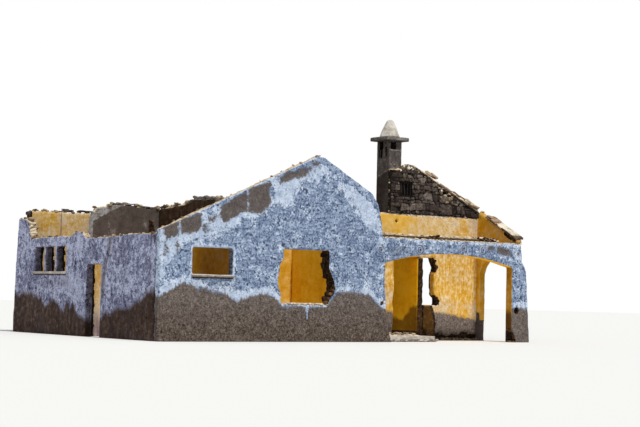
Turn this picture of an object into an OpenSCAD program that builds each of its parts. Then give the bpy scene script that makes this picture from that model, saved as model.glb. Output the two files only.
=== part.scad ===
// Roofless masonry house: gabled front room, long left wing, arched porch and chimney.
// X runs along the front, Y runs inwards from the front, Z is up. Millimetres.
// Every sub-part is one module, placed by the house corner at the left of the front.
// Heights are measured from the ground line of the gabled front.

/* [Front room] */
// width of the gabled front wall
gable_w = 8140; // [8000:10:8300]
// height of the front wall at its left eave
eave_h = 3050; // [2950:10:3120]
// height of the front wall at its ridge
ridge_h = 5480; // [5350:10:5600]
// distance of the ridge from the left corner
ridge_x = 5400; // [5300:10:5500]
// length of the worn flat crest of the ridge
crest_w = 280; // [200:10:320]
// fall of the right slope of the front wall for each metre along
right_fall = 530; // [500:5:550]
// thickness of the front, wing and room walls
wall_t = 250; // [220:5:280]
// depth of the front room from face to rear wall
room_depth = 4650; // [4500:10:4750]

/* [Front openings] */
// left edge of the small window
small_x = 1100; // [1000:10:1250]
// width of the small window
small_w = 1350; // [1200:10:1400]
// sill height of the small window
small_z = 1800; // [1700:10:1900]
// height of the small window
small_h = 770; // [650:10:820]
// left edge of the large window
large_x = 4210; // [4100:10:4300]
// width of the large window
large_w = 1710; // [1600:10:1800]
// sill height of the large window
large_z = 1010; // [950:10:1150]
// height of the large window
large_h = 1620; // [1450:10:1680]

/* [Left wing] */
// height of the outer wall of the wing
wing_h = 2990; // [2900:10:3040]
// length of the wing from the front face
wing_len = 9050; // [8900:10:9400]
// clear width inside the wing
wing_clear = 2380; // [2300:10:2450]
// distance of the wing door from the front
door_y = 3400; // [3300:10:3430]
// width of the wing door
door_w = 880; // [800:10:900]
// height of the wing door
door_h = 2060; // [1980:10:2120]
// distance of the triple window from the front
triple_y = 5640; // [5600:10:5750]
// width of each light of the triple window
light_w = 640; // [600:10:680]
// width of the posts between the lights
post_w = 110; // [90:5:130]
// sill height of the triple window
triple_z = 1840; // [1780:10:1900]
// height of the triple window
triple_h = 780; // [700:10:800]
// height of the inner walls
inner_h = 3870; // [3800:10:3950]

/* [Porch] */
// clear span of the front arch
arch_span = 5400; // [5300:10:5500]
// height where the front arch springs
spring_h = 2335; // [2280:5:2380]
// rise of the front arch
arch_rise = 355; // [320:5:380]
// height of the arched wall
arch_wall_h = 3150; // [3100:10:3200]
// thickness of the arched wall and its pier
porch_t = 330; // [300:5:340]
// distance of the porch back wall from the front
back_y = 1900; // [1850:10:1950]
// thickness of the porch back wall
back_t = 300; // [280:5:320]
// distance along the porch from the gabled front to the inner wall behind it
inner_at = 2920; // [2850:10:3000]
// width of the doorway in the porch back wall
porch_door_w = 1030; // [980:10:1080]
// height of the heads of the openings in the porch back wall
head_h = 2620; // [2590:10:2680]
// height of the low walls behind the porch
low_h = 2850; // [2800:10:2900]
// height where the side arch springs
side_spring = 2000; // [1950:10:2040]
// radius of the side arch
side_r = 720; // [700:5:735]

/* [Right block] */
// depth of the right block from the front
block_depth = 5550; // [5450:10:5700]
// height of the porch back wall where the rubble begins
rubble_z = 4050; // [4020:10:4120]
// height of the rubble gable at its peak
peak_h = 5600; // [5550:10:5660]
// height of the rubble gable at its right end
gable_foot = 4190; // [4150:10:4230]
// height of the side wall slope at the front face
shed_h = 3280; // [3260:5:3310]
// rise of the side wall slope for each metre inwards
shed_rise = 520; // [500:10:530]
// width of the side window
side_window_w = 1080; // [1000:10:1120]
// height of the side window
side_window_h = 1800; // [1700:10:1850]

/* [Chimney] */
// width of the chimney shaft along the front
shaft_w = 545; // [520:5:580]
// depth of the chimney shaft
shaft_d = 635; // [600:5:650]
// height of the top of the shaft
shaft_top = 6425; // [6350:5:6500]
// width of the square cap slab
slab_w = 935; // [880:5:980]
// thickness of the cap slab
slab_t = 130; // [110:5:150]
// radius of the cone at its foot
cone_r = 340; // [310:5:360]
// radius of the cone at its top
cone_top_r = 110; // [100:5:130]
// height of the cone
cone_h = 590; // [550:10:640]

/* [Hidden] */
$fn = 96;
metre = 1000;
// a cut runs this far past the face it starts from
past = 1;
// how far the feet of the walls run down to the lowest ground
foot = 120;
// how far sills stand out of the wall, their thickness and their ends
sill_out = 60;
sill_t = 70;
sill_over = 55;
// foot of the front wall beside the porch, washed out to a flare
flare_w = 330;
flare_low_w = 160;
flare_low_h = 350;
flare_mid_w = 95;
flare_mid_h = 630;
flare_top_w = 50;
flare_top_h = 1200;
flare_end_h = 1800;
// far corner of the wing wall, battered towards its foot: share of the batter, and of the height
batter_w = 190;
batter = [[0, 1.13], [0.37, 0.84], [0.6, 0.64], [0.8, 0.37], [0.97, 0.17]];
// worn right edge of the front wall above the porch, in from the edge
brow_in = 550;
cheek_in = 310;
cheek_z = 4125;
jaw_in = 155;
jaw_z = 3570;
shoulder_in = 110;
// inner face of the wing partition, and of the room wall on the right
part_x = wall_t + wing_clear;
room_r_x = gable_w - wall_t;
// cross wall of the wing
cross_y = 4500;
cross_t = 250;
// wing door and triple window
door_end = door_y + door_w;
triple_w = light_w + post_w + light_w + post_w + light_w;
triple_end = triple_y + triple_w;
triple_top = triple_z + triple_h;
wing_in_y = wing_len - wall_t;
// right block lines along X
corner_gap = 180;
inner_r = gable_w + arch_span + corner_gap;
outer_r = inner_r + wall_t;
inner_x = gable_w + inner_at;
inner_end_x = inner_x + wall_t;
jamb_x = inner_x - porch_door_w;
back_end = back_y + back_t;
block_in_y = block_depth - wall_t;
// arch circle
arch_mid = gable_w + arch_span / 2;
arch_r = (arch_span * arch_span / 4 + arch_rise * arch_rise) / (2 * arch_rise);
arch_centre_z = spring_h + arch_rise - arch_r;
// side arch
side_centre_y = porch_t + side_r;
side_jamb_y = porch_t + 2 * side_r;
// buttressed pier at the right front corner, outer edge measured from the arch
pier_x = gable_w + arch_span;
pier_foot = 845;
pier_low = 725;
pier_low_z = 1290;
pier_mid = 650;
pier_mid_z = 2220;
pier_top = 610;
neck_w = 445;
neck_low_z = 2550;
neck_z = 2750;
cap_w = 390;
// hollow worn out of the foot of the pier
hollow_w = 210;
hollow_d = 230;
hollow_z = 300;
drain_r = 95;
drain_in = 235;
drain_z = 930;
// ledge left of the porch ceiling
ledge_back = 240;
ledge_h = 100;
ledge_share = 0.9;
ledge_len = arch_span * ledge_share;
ledge_top = [[0, 1], [0.35, 0.85], [0.6, 1], [0.82, 1.4], [0.98, 0.7], [1, 0]];
// gap broken through the back wall beside the inner wall
gap_z = 1050;
// rubble gable, its places as shares of the arch span
peak_share = 0.483;
chimney_share = 0.3065;
bite_share = 0.709;
peak_x = gable_w + arch_span * peak_share;
chimney_x = gable_w + arch_span * chimney_share;
bite_x = gable_w + arch_span * bite_share;
chimney_in = 100;
chimney_y = back_y + chimney_in;
crown_w = 420;
crown_up = 20;
crown_foot = 580;
ledge_drop = 140;
bite_w = 330;
bite_d = 260;
bite_floor = [[0.85, 0.4], [0.5, 1], [0.1, 0.7]];
// attic window beside the chimney, its frame and the boards that close it
attic_lap = 130;
attic_x = chimney_x + shaft_w - attic_lap;
attic_w = 510;
attic_z = 4615;
attic_h = 475;
attic_rim = 50;
attic_in = 40;
shutter_t = 30;
// mortar verges
verge_t = 80;
verge_over = 60;
shed_verge_t = 90;
shed_over = 100;
shed_short = 480;
// slab that carries the chimney
hearth_t = 140;
hearth_d = 540;
// side window
side_window_z = 950;
side_window_end = 230;
// chimney flue and its vents, each vent set off to the left of its face
flue_w = 300;
flue_z = 5500;
vent_w = 230;
vent_off = 83;
slot_w = 212;
slot_off = 104;
vent_h = 275;
slit_w = 100;
slit_h = 300;
slit_off = 175;
// cone: share of the way from its top radius out to its foot radius, and of its height
cone_profile = [[1, 0], [1, 0.05], [0.74, 0.33], [0.335, 0.7], [0.02, 0.94], [-0.2, 1]];
// rear openings
rear_w = 1200;
rear_h = 1200;
rear_z = 1000;
// porch floor
floor_h = 100;
floor_l = 2320;
// round bosses on the arched wall, along it as shares of the span
boss_r = 70;
boss_hole_r = 28;
boss_out = 45;
boss_at = [-0.042, 0.252, 0.592, 0.748];
boss_z = [2735, 2790, 2910, 2880];
// whole extent of the plan, used to centre it
plan_r = pier_x + pier_foot;
centre_x = (plan_r - sill_out) / 2;
centre_y = (wing_len + batter_w - sill_out) / 2;

// worn wall tops: share of the run, and height against the named top
wing_front_top = [[0, -70], [0.1, -60], [0.45, -45], [0.72, -95], [1, -115]];
wing_rear_top = [[0, -115], [0.035, -110], [0.065, 20], [0.145, 90], [0.24, -60], [0.38, -30],
    [0.66, -70], [0.787, -85], [0.815, 240], [0.85, 510], [0.9635, 590], [1, 570]];
cross_top = [[0, -870], [0.005, -370], [0.025, -210], [0.07, -60], [0.24, 0], [0.32, 70],
    [0.55, 95], [0.66, 50], [0.77, 60], [0.81, 10], [1, 30]];
part_top = [[0, 80], [0.076, 130], [0.1, 190], [0.135, 250], [0.26, 270], [0.287, 190],
    [0.345, 120], [0.427, 80], [0.51, 20], [0.54, -20], [0.62, -330], [0.8, -420], [0.93, -250],
    [1, -20]];
end_top = [[0, -250], [0.02, -60], [0.05, -30], [0.22, 0], [0.44, -30], [0.6, -30], [0.69, 0],
    [1, 0]];
room_rear_top = [[0, -420], [0.18, -500], [0.3, -690], [0.55, -760], [0.8, -640], [1, -720]];
room_side_top = [[0, 120], [0.2, 260], [0.55, 420], [0.8, 240], [1, 300]];
inner_top = [[0, 320], [0.3, 500], [0.7, 380], [1, 420]];
side_top = [[0, 210], [0.12, 200], [0.3, 50], [0.55, -40], [0.8, -240], [1, -310]];
block_rear_top = [[0, 300], [0.25, 180], [0.5, 360], [0.8, 520], [1, 740]];
crown_top = [[0, -10], [0.18, 15], [0.5, 20], [0.75, 0], [1, 0]];

// worn edges of openings: share of the height, and how far the edge is worn away
large_left = [[0, 0], [0.22, 10], [0.27, 80], [0.4, 120], [0.57, 70], [0.7, 60], [0.8, -60],
    [0.9, -90], [1, -40]];
large_right = [[1, 10], [0.67, 0], [0.57, 80], [0.44, 190], [0.3, 240], [0.21, 220], [0.13, 70],
    [0, -10]];
jamb_edge = [[0, -10], [0.096, -10], [0.3, 40], [0.37, 25], [0.447, -35], [0.525, 0],
    [0.657, 37], [0.753, 13], [0.926, 0], [1, 0]];
gap_edge = [[0, 590], [0.067, 605], [0.13, 592], [0.214, 465], [0.427, 443], [0.66, 447],
    [0.79, 545], [0.937, 415], [1, 415]];
// hollow at the foot of the pier: share of its width, and of its height above the ground
hollow_edge = [[1, 0.03], [0.67, 0.42], [0.1, 0.89], [0, 1]];

function run(marks, from, to, top) =
    [for (m = marks) [from + m[0] * (to - from), top + m[1]]];
function edge(marks, x, low, high) =
    [for (m = marks) [x + m[1], low + m[0] * (high - low)]];
function front_z(x) = ridge_h - (x - ridge_x - crest_w) * right_fall / metre;
function slope_z(x) = peak_h - (x - peak_x) * (peak_h - gable_foot) / (inner_r - peak_x);
function shed_z(y) = shed_h + y * shed_rise / metre;

// places a sub-part from the house corner
module house() {
    translate([-centre_x, -centre_y, foot])
        children();
}

// wall along X: outline in X and Z, front face at y
module wall_x(y, t) {
    translate([0, y + t, 0])
        rotate([90, 0, 0])
            linear_extrude(t)
                children();
}

// wall along Y: outline in Y and Z, left face at x
module wall_y(x, t) {
    translate([x, 0, 0])
        rotate([90, 0, 90])
            linear_extrude(t)
                children();
}

module box(x0, y0, z0, x1, y1, z1) {
    translate([x0, y0, z0])
        cube([x1 - x0, y1 - y0, z1 - z0]);
}

// outline of the large window, worn at both sides
module large_hole() {
    left = [for (p = large_left) [large_x - p[1], large_z + p[0] * large_h]];
    right = edge(large_right, large_x + large_w, large_z, large_z + large_h);
    polygon(concat(left, right));
}

module front_wall() {
    brow_x = gable_w - brow_in;
    color("#b9c7d9")
        house()
            wall_x(0, wall_t)
                difference() {
                    polygon([
                        [0, -foot],
                        [gable_w + flare_w, -foot],
                        [gable_w + flare_low_w, flare_low_h],
                        [gable_w + flare_mid_w, flare_mid_h],
                        [gable_w + flare_top_w, flare_top_h],
                        [gable_w, flare_end_h],
                        [gable_w, arch_wall_h],
                        [gable_w - shoulder_in, arch_wall_h + past],
                        [gable_w - jaw_in, jaw_z],
                        [gable_w - cheek_in, cheek_z],
                        [brow_x, front_z(brow_x)],
                        [ridge_x + crest_w, ridge_h],
                        [ridge_x, ridge_h],
                        [0, eave_h]
                    ]);
                    large_hole();
                    translate([small_x, small_z])
                        square([small_w, small_h]);
                }
}

module front_window_sill() {
    color("#8f8a80")
        house()
            box(small_x - sill_over, -sill_out, small_z - sill_t,
                small_x + small_w + sill_over, 0, small_z);
}

module wing_wall_front() {
    color("#878fa6")
        house()
            wall_y(0, wall_t)
                polygon(concat(
                    [[door_y, -foot], [wall_t, -foot]],
                    run(wing_front_top, wall_t, door_y, wing_h)
                ));
}

module wing_door_lintel() {
    color("#878fa6")
        house()
            wall_y(0, wall_t)
                polygon([
                    [door_y, door_h],
                    [door_end, door_h],
                    [door_end, wing_h + wing_rear_top[0][1]],
                    [door_y, wing_h + wing_front_top[len(wing_front_top) - 1][1]]
                ]);
}

module wing_wall_rear() {
    color("#878fa6")
        house()
            wall_y(0, wall_t)
                difference() {
                    polygon(concat(
                        [[door_end, -foot]],
                        run(wing_rear_top, door_end, wing_len, wing_h),
                        [for (step = batter) [wing_len + batter_w * step[0], wing_h * step[1]]],
                        [[wing_len + batter_w, -foot]]
                    ));
                    translate([triple_y, triple_z])
                        square([triple_w, triple_h]);
                }
}

module wing_post(y) {
    color("#8d8f98")
        house()
            box(0, y, triple_z, wall_t, y + post_w, triple_top);
}

module wing_window_sill() {
    color("#8f8a80")
        house()
            box(-sill_out, triple_y - sill_over, triple_z - sill_t,
                0, triple_end + sill_over, triple_z);
}

module wing_end_wall() {
    color("#ad8c61")
        house()
            wall_x(wing_in_y, wall_t)
                polygon(concat(
                    [[part_x + wall_t, -foot], [wall_t, -foot]],
                    run(end_top, wall_t, part_x + wall_t, inner_h)
                ));
}

module wing_cross_wall() {
    color("#5a4a40")
        house()
            wall_x(cross_y, cross_t)
                polygon(concat(
                    [[part_x, -foot], [wall_t, -foot]],
                    run(cross_top, wall_t, part_x, inner_h)
                ));
}

module wing_partition() {
    color("#3c2e2a")
        house()
            wall_y(part_x, wall_t)
                polygon(concat(
                    [[wing_in_y, -foot], [wall_t, -foot]],
                    run(part_top, wall_t, wing_in_y, inner_h)
                ));
}

module room_rear_wall() {
    color("#c08a3c")
        house()
            wall_x(room_depth, wall_t)
                difference() {
                    polygon(concat(
                        [[room_r_x, -foot], [part_x + wall_t, -foot]],
                        run(room_rear_top, part_x + wall_t, room_r_x, inner_h)
                    ));
                    translate([(part_x + room_r_x - rear_w) / 2, rear_z])
                        square([rear_w, rear_h]);
                }
}

module room_side_wall() {
    front_top = low_h + room_side_top[0][1];
    color("#a66c22")
        house()
            wall_y(room_r_x, wall_t)
                polygon(concat(
                    [[block_depth, -foot], [wall_t, -foot]],
                    [[wall_t, front_top], [back_y, front_top]],
                    [[back_y, head_h], [back_end, head_h]],
                    run(room_side_top, back_end, block_depth, low_h)
                ));
}

module arch_wall() {
    color("#a2adc1")
        house()
            wall_x(0, porch_t)
                difference() {
                    polygon(concat(
                        [
                            [gable_w, spring_h],
                            [gable_w, arch_wall_h],
                            [gable_w + ledge_len, arch_wall_h]
                        ],
                        run(crown_top, gable_w + ledge_len, pier_x + cap_w, arch_wall_h),
                        [
                            [pier_x + neck_w, neck_z],
                            [pier_x + neck_w, neck_low_z],
                            [pier_x + pier_top, spring_h]
                        ]
                    ));
                    translate([arch_mid, arch_centre_z])
                        circle(r = arch_r);
                }
}

module arch_ledge() {
    color("#8b857c")
        house()
            wall_x(porch_t - ledge_back, ledge_back)
                polygon(concat(
                    [[gable_w, arch_wall_h]],
                    [for (p = ledge_top) [gable_w + p[0] * ledge_len, arch_wall_h + p[1] * ledge_h]]
                ));
}

module arch_boss(n) {
    color("#9aa3b4")
        house()
            translate([gable_w + boss_at[n] * arch_span, 0, boss_z[n]])
                rotate([90, 0, 0])
                    difference() {
                        cylinder(h = boss_out, r = boss_r);
                        translate([0, 0, boss_out / 2])
                            cylinder(h = boss_out, r = boss_hole_r);
                    }
}

module corner_pier() {
    color("#6a7587")
        house()
            difference() {
                wall_x(0, porch_t)
                    difference() {
                        polygon([
                            [pier_x + pier_foot, -foot],
                            [pier_x + pier_low, pier_low_z],
                            [pier_x + pier_mid, pier_mid_z],
                            [pier_x + pier_top, spring_h],
                            [pier_x, spring_h],
                            [pier_x, -foot]
                        ]);
                        translate([pier_x + drain_in, drain_z])
                            circle(r = drain_r);
                    }
                wall_x(-past, hollow_d + past)
                    polygon(concat(
                        [[pier_x - past, -foot - past], [pier_x + hollow_w, -foot - past]],
                        [for (p = hollow_edge)
                            [pier_x + p[0] * hollow_w, p[1] * (hollow_z + foot) - foot]],
                        [[pier_x - past, hollow_z]]
                    ));
            }
}

module side_arch_wall() {
    color("#b0752c")
        house()
            wall_y(inner_r, wall_t)
                difference() {
                    polygon([
                        [porch_t, side_spring],
                        [back_y, side_spring],
                        [back_y, shed_z(back_y)],
                        [0, shed_z(0)],
                        [0, arch_wall_h],
                        [porch_t, arch_wall_h]
                    ]);
                    translate([side_centre_y, side_spring])
                        circle(r = side_r);
                }
}

module side_pier() {
    color("#b0752c")
        house()
            box(inner_r, side_jamb_y, -foot, outer_r, back_y, side_spring);
}

module shed_verge() {
    shed_end = back_y - shed_short;
    color("#c6c5c3")
        house()
            wall_y(inner_r - shed_over, wall_t + shed_over + verge_over)
                polygon([
                    [0, shed_z(0)],
                    [shed_end, shed_z(shed_end)],
                    [shed_end, shed_z(shed_end) + shed_verge_t],
                    [0, shed_z(0) + shed_verge_t]
                ]);
}

module porch_back_wall() {
    color("#dfba7e")
        house()
            wall_x(back_y, back_t)
                polygon(concat(
                    [[inner_r, head_h], [inner_r, -foot], [inner_end_x, -foot]],
                    [[inner_end_x, gap_z]],
                    edge(gap_edge, inner_end_x, gap_z, head_h)
                ));
}

module porch_jamb_wall() {
    color("#e0bc80")
        house()
            wall_x(back_y, back_t)
                polygon(concat(
                    [[gable_w, head_h], [gable_w, -foot]],
                    edge(jamb_edge, jamb_x, -foot, head_h)
                ));
}

module porch_upper_wall() {
    color("#d4b580")
        house()
            box(room_r_x, back_y, head_h, inner_r, back_end, rubble_z);
}

module recess_side_wall() {
    color("#a66c12")
        house()
            wall_y(inner_x, wall_t)
                polygon(concat(
                    [[block_in_y, -foot], [back_y, -foot], [back_y, head_h], [back_end, head_h]],
                    run(inner_top, back_end, block_in_y, low_h)
                ));
}

module hearth_slab() {
    color("#7a7268")
        house()
            box(gable_w, back_end, low_h, inner_x, back_end + hearth_d, low_h + hearth_t);
}

module rubble_gable() {
    bite_end = bite_x + bite_w;
    ledge_z = peak_h - ledge_drop;
    color("#5b514c")
        house()
            difference() {
                wall_x(back_y, back_t)
                    difference() {
                        polygon(concat(
                            [
                                [chimney_x, rubble_z],
                                [inner_r, rubble_z],
                                [inner_r, slope_z(inner_r)],
                                [bite_end, slope_z(bite_end)]
                            ],
                            [for (p = bite_floor)
                                [bite_x + p[0] * bite_w, slope_z(bite_end) - p[1] * bite_d]],
                            [
                                [bite_x, slope_z(bite_x)],
                                [peak_x, peak_h],
                                [peak_x - crown_w, peak_h + crown_up],
                                [peak_x - crown_foot, ledge_z],
                                [chimney_x, ledge_z]
                            ]
                        ));
                        translate([attic_x, attic_z])
                            square([attic_w, attic_h]);
                    }
                box(chimney_x - past, chimney_y, rubble_z - past, chimney_x + shaft_w,
                    back_end + past, shaft_top);
            }
}

module attic_window_frame() {
    color("#6f6c66")
        house()
            wall_x(back_y + attic_in, attic_rim)
                difference() {
                    translate([attic_x, attic_z])
                        square([attic_w, attic_h]);
                    translate([attic_x + attic_rim, attic_z + attic_rim])
                        square([attic_w - 2 * attic_rim, attic_h - 2 * attic_rim]);
                }
}

module attic_shutter() {
    color("#2c2723")
        house()
            box(chimney_x + shaft_w, chimney_y, attic_z, attic_x + attic_w,
                chimney_y + shutter_t, attic_z + attic_h);
}

module gable_verge(from, to) {
    color("#cfccc4")
        house()
            wall_x(back_y - verge_over, back_t + verge_over)
                polygon([
                    [from, slope_z(from)],
                    [to, slope_z(to)],
                    [to, slope_z(to) + verge_t],
                    [from, slope_z(from) + verge_t]
                ]);
}

module side_wall() {
    window_y = block_in_y - side_window_end - side_window_w;
    color("#8c8272")
        house()
            wall_y(inner_r, wall_t)
                difference() {
                    polygon(concat(
                        [[block_depth, -foot], [back_y, -foot]],
                        run(side_top, back_y, block_depth, rubble_z)
                    ));
                    translate([window_y, side_window_z])
                        square([side_window_w, side_window_h]);
                }
}

module block_rear_wall() {
    color("#8c8272")
        house()
            wall_x(block_in_y, wall_t)
                difference() {
                    polygon(concat(
                        [[inner_r, -foot], [gable_w, -foot]],
                        run(block_rear_top, gable_w, inner_r, low_h)
                    ));
                    translate([gable_w + (inner_at - rear_w) / 2, rear_z])
                        square([rear_w, rear_h]);
                }
}

module porch_floor() {
    color("#b8ad98")
        house()
            box(gable_w, wall_t, -foot, gable_w + floor_l, back_y, floor_h);
}

module chimney_shaft() {
    mid_x = chimney_x + shaft_w / 2;
    mid_y = chimney_y + shaft_d / 2;
    end_x = chimney_x + shaft_w;
    end_y = chimney_y + shaft_d;
    vent_z = shaft_top - vent_h;
    color("#584f46")
        house()
            difference() {
                union() {
                    box(chimney_x, chimney_y, rubble_z, end_x, end_y, shaft_top);
                    box(chimney_x, back_end, low_h + hearth_t, end_x, end_y, rubble_z);
                }
                box(mid_x - flue_w / 2, mid_y - flue_w / 2, flue_z,
                    mid_x + flue_w / 2, mid_y + flue_w / 2, shaft_top + past);
                box(chimney_x + vent_off, chimney_y - past, vent_z,
                    chimney_x + vent_off + vent_w, mid_y, shaft_top + past);
                box(end_x - vent_off - vent_w, mid_y, vent_z,
                    end_x - vent_off, end_y + past, shaft_top + past);
                box(chimney_x - past, end_y - slot_off - slot_w, vent_z,
                    mid_x, end_y - slot_off, shaft_top + past);
                box(mid_x, chimney_y + slot_off, vent_z,
                    end_x + past, chimney_y + slot_off + slot_w, shaft_top + past);
                box(chimney_x - past, end_y - slit_off - slit_w, vent_z - slit_h,
                    mid_x, end_y - slit_off, vent_z + past);
            }
}

module chimney_slab() {
    mid_x = chimney_x + shaft_w / 2;
    mid_y = chimney_y + shaft_d / 2;
    color("#6f6761")
        house()
            box(mid_x - slab_w / 2, mid_y - slab_w / 2, shaft_top,
                mid_x + slab_w / 2, mid_y + slab_w / 2, shaft_top + slab_t);
}

module chimney_cone() {
    mid_x = chimney_x + shaft_w / 2;
    mid_y = chimney_y + shaft_d / 2;
    color("#c1baaa")
        house()
            translate([mid_x, mid_y, shaft_top + slab_t])
                rotate_extrude()
                    polygon(concat(
                        [[0, 0]],
                        [for (p = cone_profile)
                            [cone_top_r + p[0] * (cone_r - cone_top_r), p[1] * cone_h]],
                        [[0, cone_h]]
                    ));
}

front_wall();
front_window_sill();
wing_wall_front();
wing_door_lintel();
wing_wall_rear();
wing_post(triple_y + light_w);  // wing_window_post_front
wing_post(triple_end - light_w - post_w);  // wing_window_post_rear
wing_window_sill();
wing_end_wall();
wing_cross_wall();
wing_partition();
room_rear_wall();
room_side_wall();
arch_wall();
arch_ledge();
arch_boss(0);  // arch_boss_left
arch_boss(1);  // arch_boss_mid
arch_boss(2);  // arch_boss_right
arch_boss(3);  // arch_boss_end
corner_pier();
side_arch_wall();
side_pier();
shed_verge();
porch_back_wall();
porch_jamb_wall();
porch_upper_wall();
recess_side_wall();
hearth_slab();
rubble_gable();
attic_window_frame();
attic_shutter();
gable_verge(peak_x, bite_x);  // gable_verge_upper
gable_verge(bite_x + bite_w, inner_r);  // gable_verge_lower
side_wall();
block_rear_wall();
porch_floor();
chimney_shaft();
chimney_slab();
chimney_cone();
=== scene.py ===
import bpy
import bmesh
import math
import random
import numpy as np
from mathutils import Matrix, Vector


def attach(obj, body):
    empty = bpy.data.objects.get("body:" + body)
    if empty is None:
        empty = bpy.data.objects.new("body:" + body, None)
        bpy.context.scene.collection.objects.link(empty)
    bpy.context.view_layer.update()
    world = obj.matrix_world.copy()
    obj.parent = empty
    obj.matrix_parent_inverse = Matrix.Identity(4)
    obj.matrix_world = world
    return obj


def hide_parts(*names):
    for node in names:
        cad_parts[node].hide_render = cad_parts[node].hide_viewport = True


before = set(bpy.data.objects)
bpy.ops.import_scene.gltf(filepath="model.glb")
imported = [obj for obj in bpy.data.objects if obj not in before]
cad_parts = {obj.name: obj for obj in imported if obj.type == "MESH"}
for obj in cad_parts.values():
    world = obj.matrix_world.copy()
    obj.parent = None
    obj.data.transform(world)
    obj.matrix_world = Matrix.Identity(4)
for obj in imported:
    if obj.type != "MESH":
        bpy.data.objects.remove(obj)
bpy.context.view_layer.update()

# the house corner, at the left of the front, in the row's frame: u runs along the front, v inwards, z up
ORIGIN = Vector((-7.1625, -4.59, 0.12))
# share of the light of a front wall that falls on a wall facing left
SHADE = 0.72
# windows of the front, as left, right, bottom and top
SMALL_WINDOW = (1.1, 2.45, 1.8, 2.57)
LARGE_WINDOW = (4.1, 6.0, 0.97, 2.63)
# bosses of the arched wall, in u and z
BOSSES = ((7.913, 2.735), (9.501, 2.79), (11.337, 2.91), (12.179, 2.88))
# the rubble gable: its peak, its fall for each metre and the bite in its slope
PEAK_U, PEAK_Z, FALL = 10.7482, 5.60, 0.4744
BITE = (11.9686, 12.2986)
# its broken shoulder beside the chimney ends here
SHOULDER_END = 10.62
# its faces along v, its foot and its ends
GABLE_FRONT, GABLE_BACK = 1.9, 2.2
GABLE_FOOT, GABLE_LEFT, GABLE_RIGHT = 4.055, 9.83, 13.70
# the attic window in it, as left, right, bottom and top
ATTIC_WINDOW = (10.19, 10.735, 4.60, 5.105)
# middle of the chimney, in u and v
STACK_MIDDLE = (10.0676, 2.3175)
# the shed's side wall rises from its foot height by this much for each metre inwards
SHED_FOOT, SHED_RISE = 3.28, 0.52


def slope_at(u):
    """Height of the rubble gable's right slope."""
    return PEAK_Z - FALL * (u - PEAK_U)


# noise and outlines on arrays of points
TABLE = np.random.RandomState(7).rand(4096)


def value_noise(p, seed):
    """Smooth noise between -1 and 1 at these points, out of the table."""
    base = np.floor(p).astype(np.int64)
    f = p - base
    f = f * f * (3 - 2 * f)
    out = np.zeros(len(p))
    for dx in (0, 1):
        for dy in (0, 1):
            for dz in (0, 1):
                key = ((base[:, 0] + dx) * 73856093) ^ ((base[:, 1] + dy) * 19349663) \
                    ^ ((base[:, 2] + dz) * 83492791) ^ (seed * 2654435)
                w = (f[:, 0] if dx else 1 - f[:, 0]) * (f[:, 1] if dy else 1 - f[:, 1]) \
                    * (f[:, 2] if dz else 1 - f[:, 2])
                out += w * TABLE[key & 4095]
    return out * 2 - 1


def fbm(p, freq, seed=0, octaves=3):
    """Noise between -1 and 1, in octaves."""
    total, amp, norm = np.zeros(len(p)), 1.0, 0.0
    for k in range(octaves):
        total += amp * value_noise(p * freq * (2.03 ** k) + 11.7 * k, seed + k)
        norm += amp
        amp *= 0.5
    return total / norm


def ramp01(x, a, b):
    """0 at a, 1 at b, held outside."""
    return np.clip((x - a) / (b - a), 0.0, 1.0)


def bump_at(x, centre, width):
    """1 at the centre, falling off on both sides."""
    return np.exp(-((x - centre) / width) ** 2)


def within(x, low, high):
    return (x > low) & (x < high)


def past_frame(a, b, window):
    """How far a point lies outside a window, and below 0 inside it."""
    left, right, bottom, top = window
    return np.maximum(np.abs(a - (left + right) / 2) - (right - left) / 2,
                      np.abs(b - (bottom + top) / 2) - (top - bottom) / 2)


def area(a, b, pts, soft=0.04, shift=0.0):
    """1 inside the outline, 0 outside, over a border of this softness."""
    best, inside = np.full(len(a), 1e9), np.zeros(len(a), bool)
    for (x0, y0), (x1, y1) in zip(pts, pts[1:] + pts[:1]):
        dx, dy = x1 - x0, y1 - y0
        t = np.clip(((a - x0) * dx + (b - y0) * dy) / (dx * dx + dy * dy), 0, 1)
        best = np.minimum(best, np.hypot(a - x0 - t * dx, b - y0 - t * dy))
        if y0 != y1:
            inside ^= ((y0 > b) != (y1 > b)) & (a < x0 + (b - y0) * dx / dy)
    return ramp01(np.where(inside, best, -best) + shift, -soft, soft)


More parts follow.
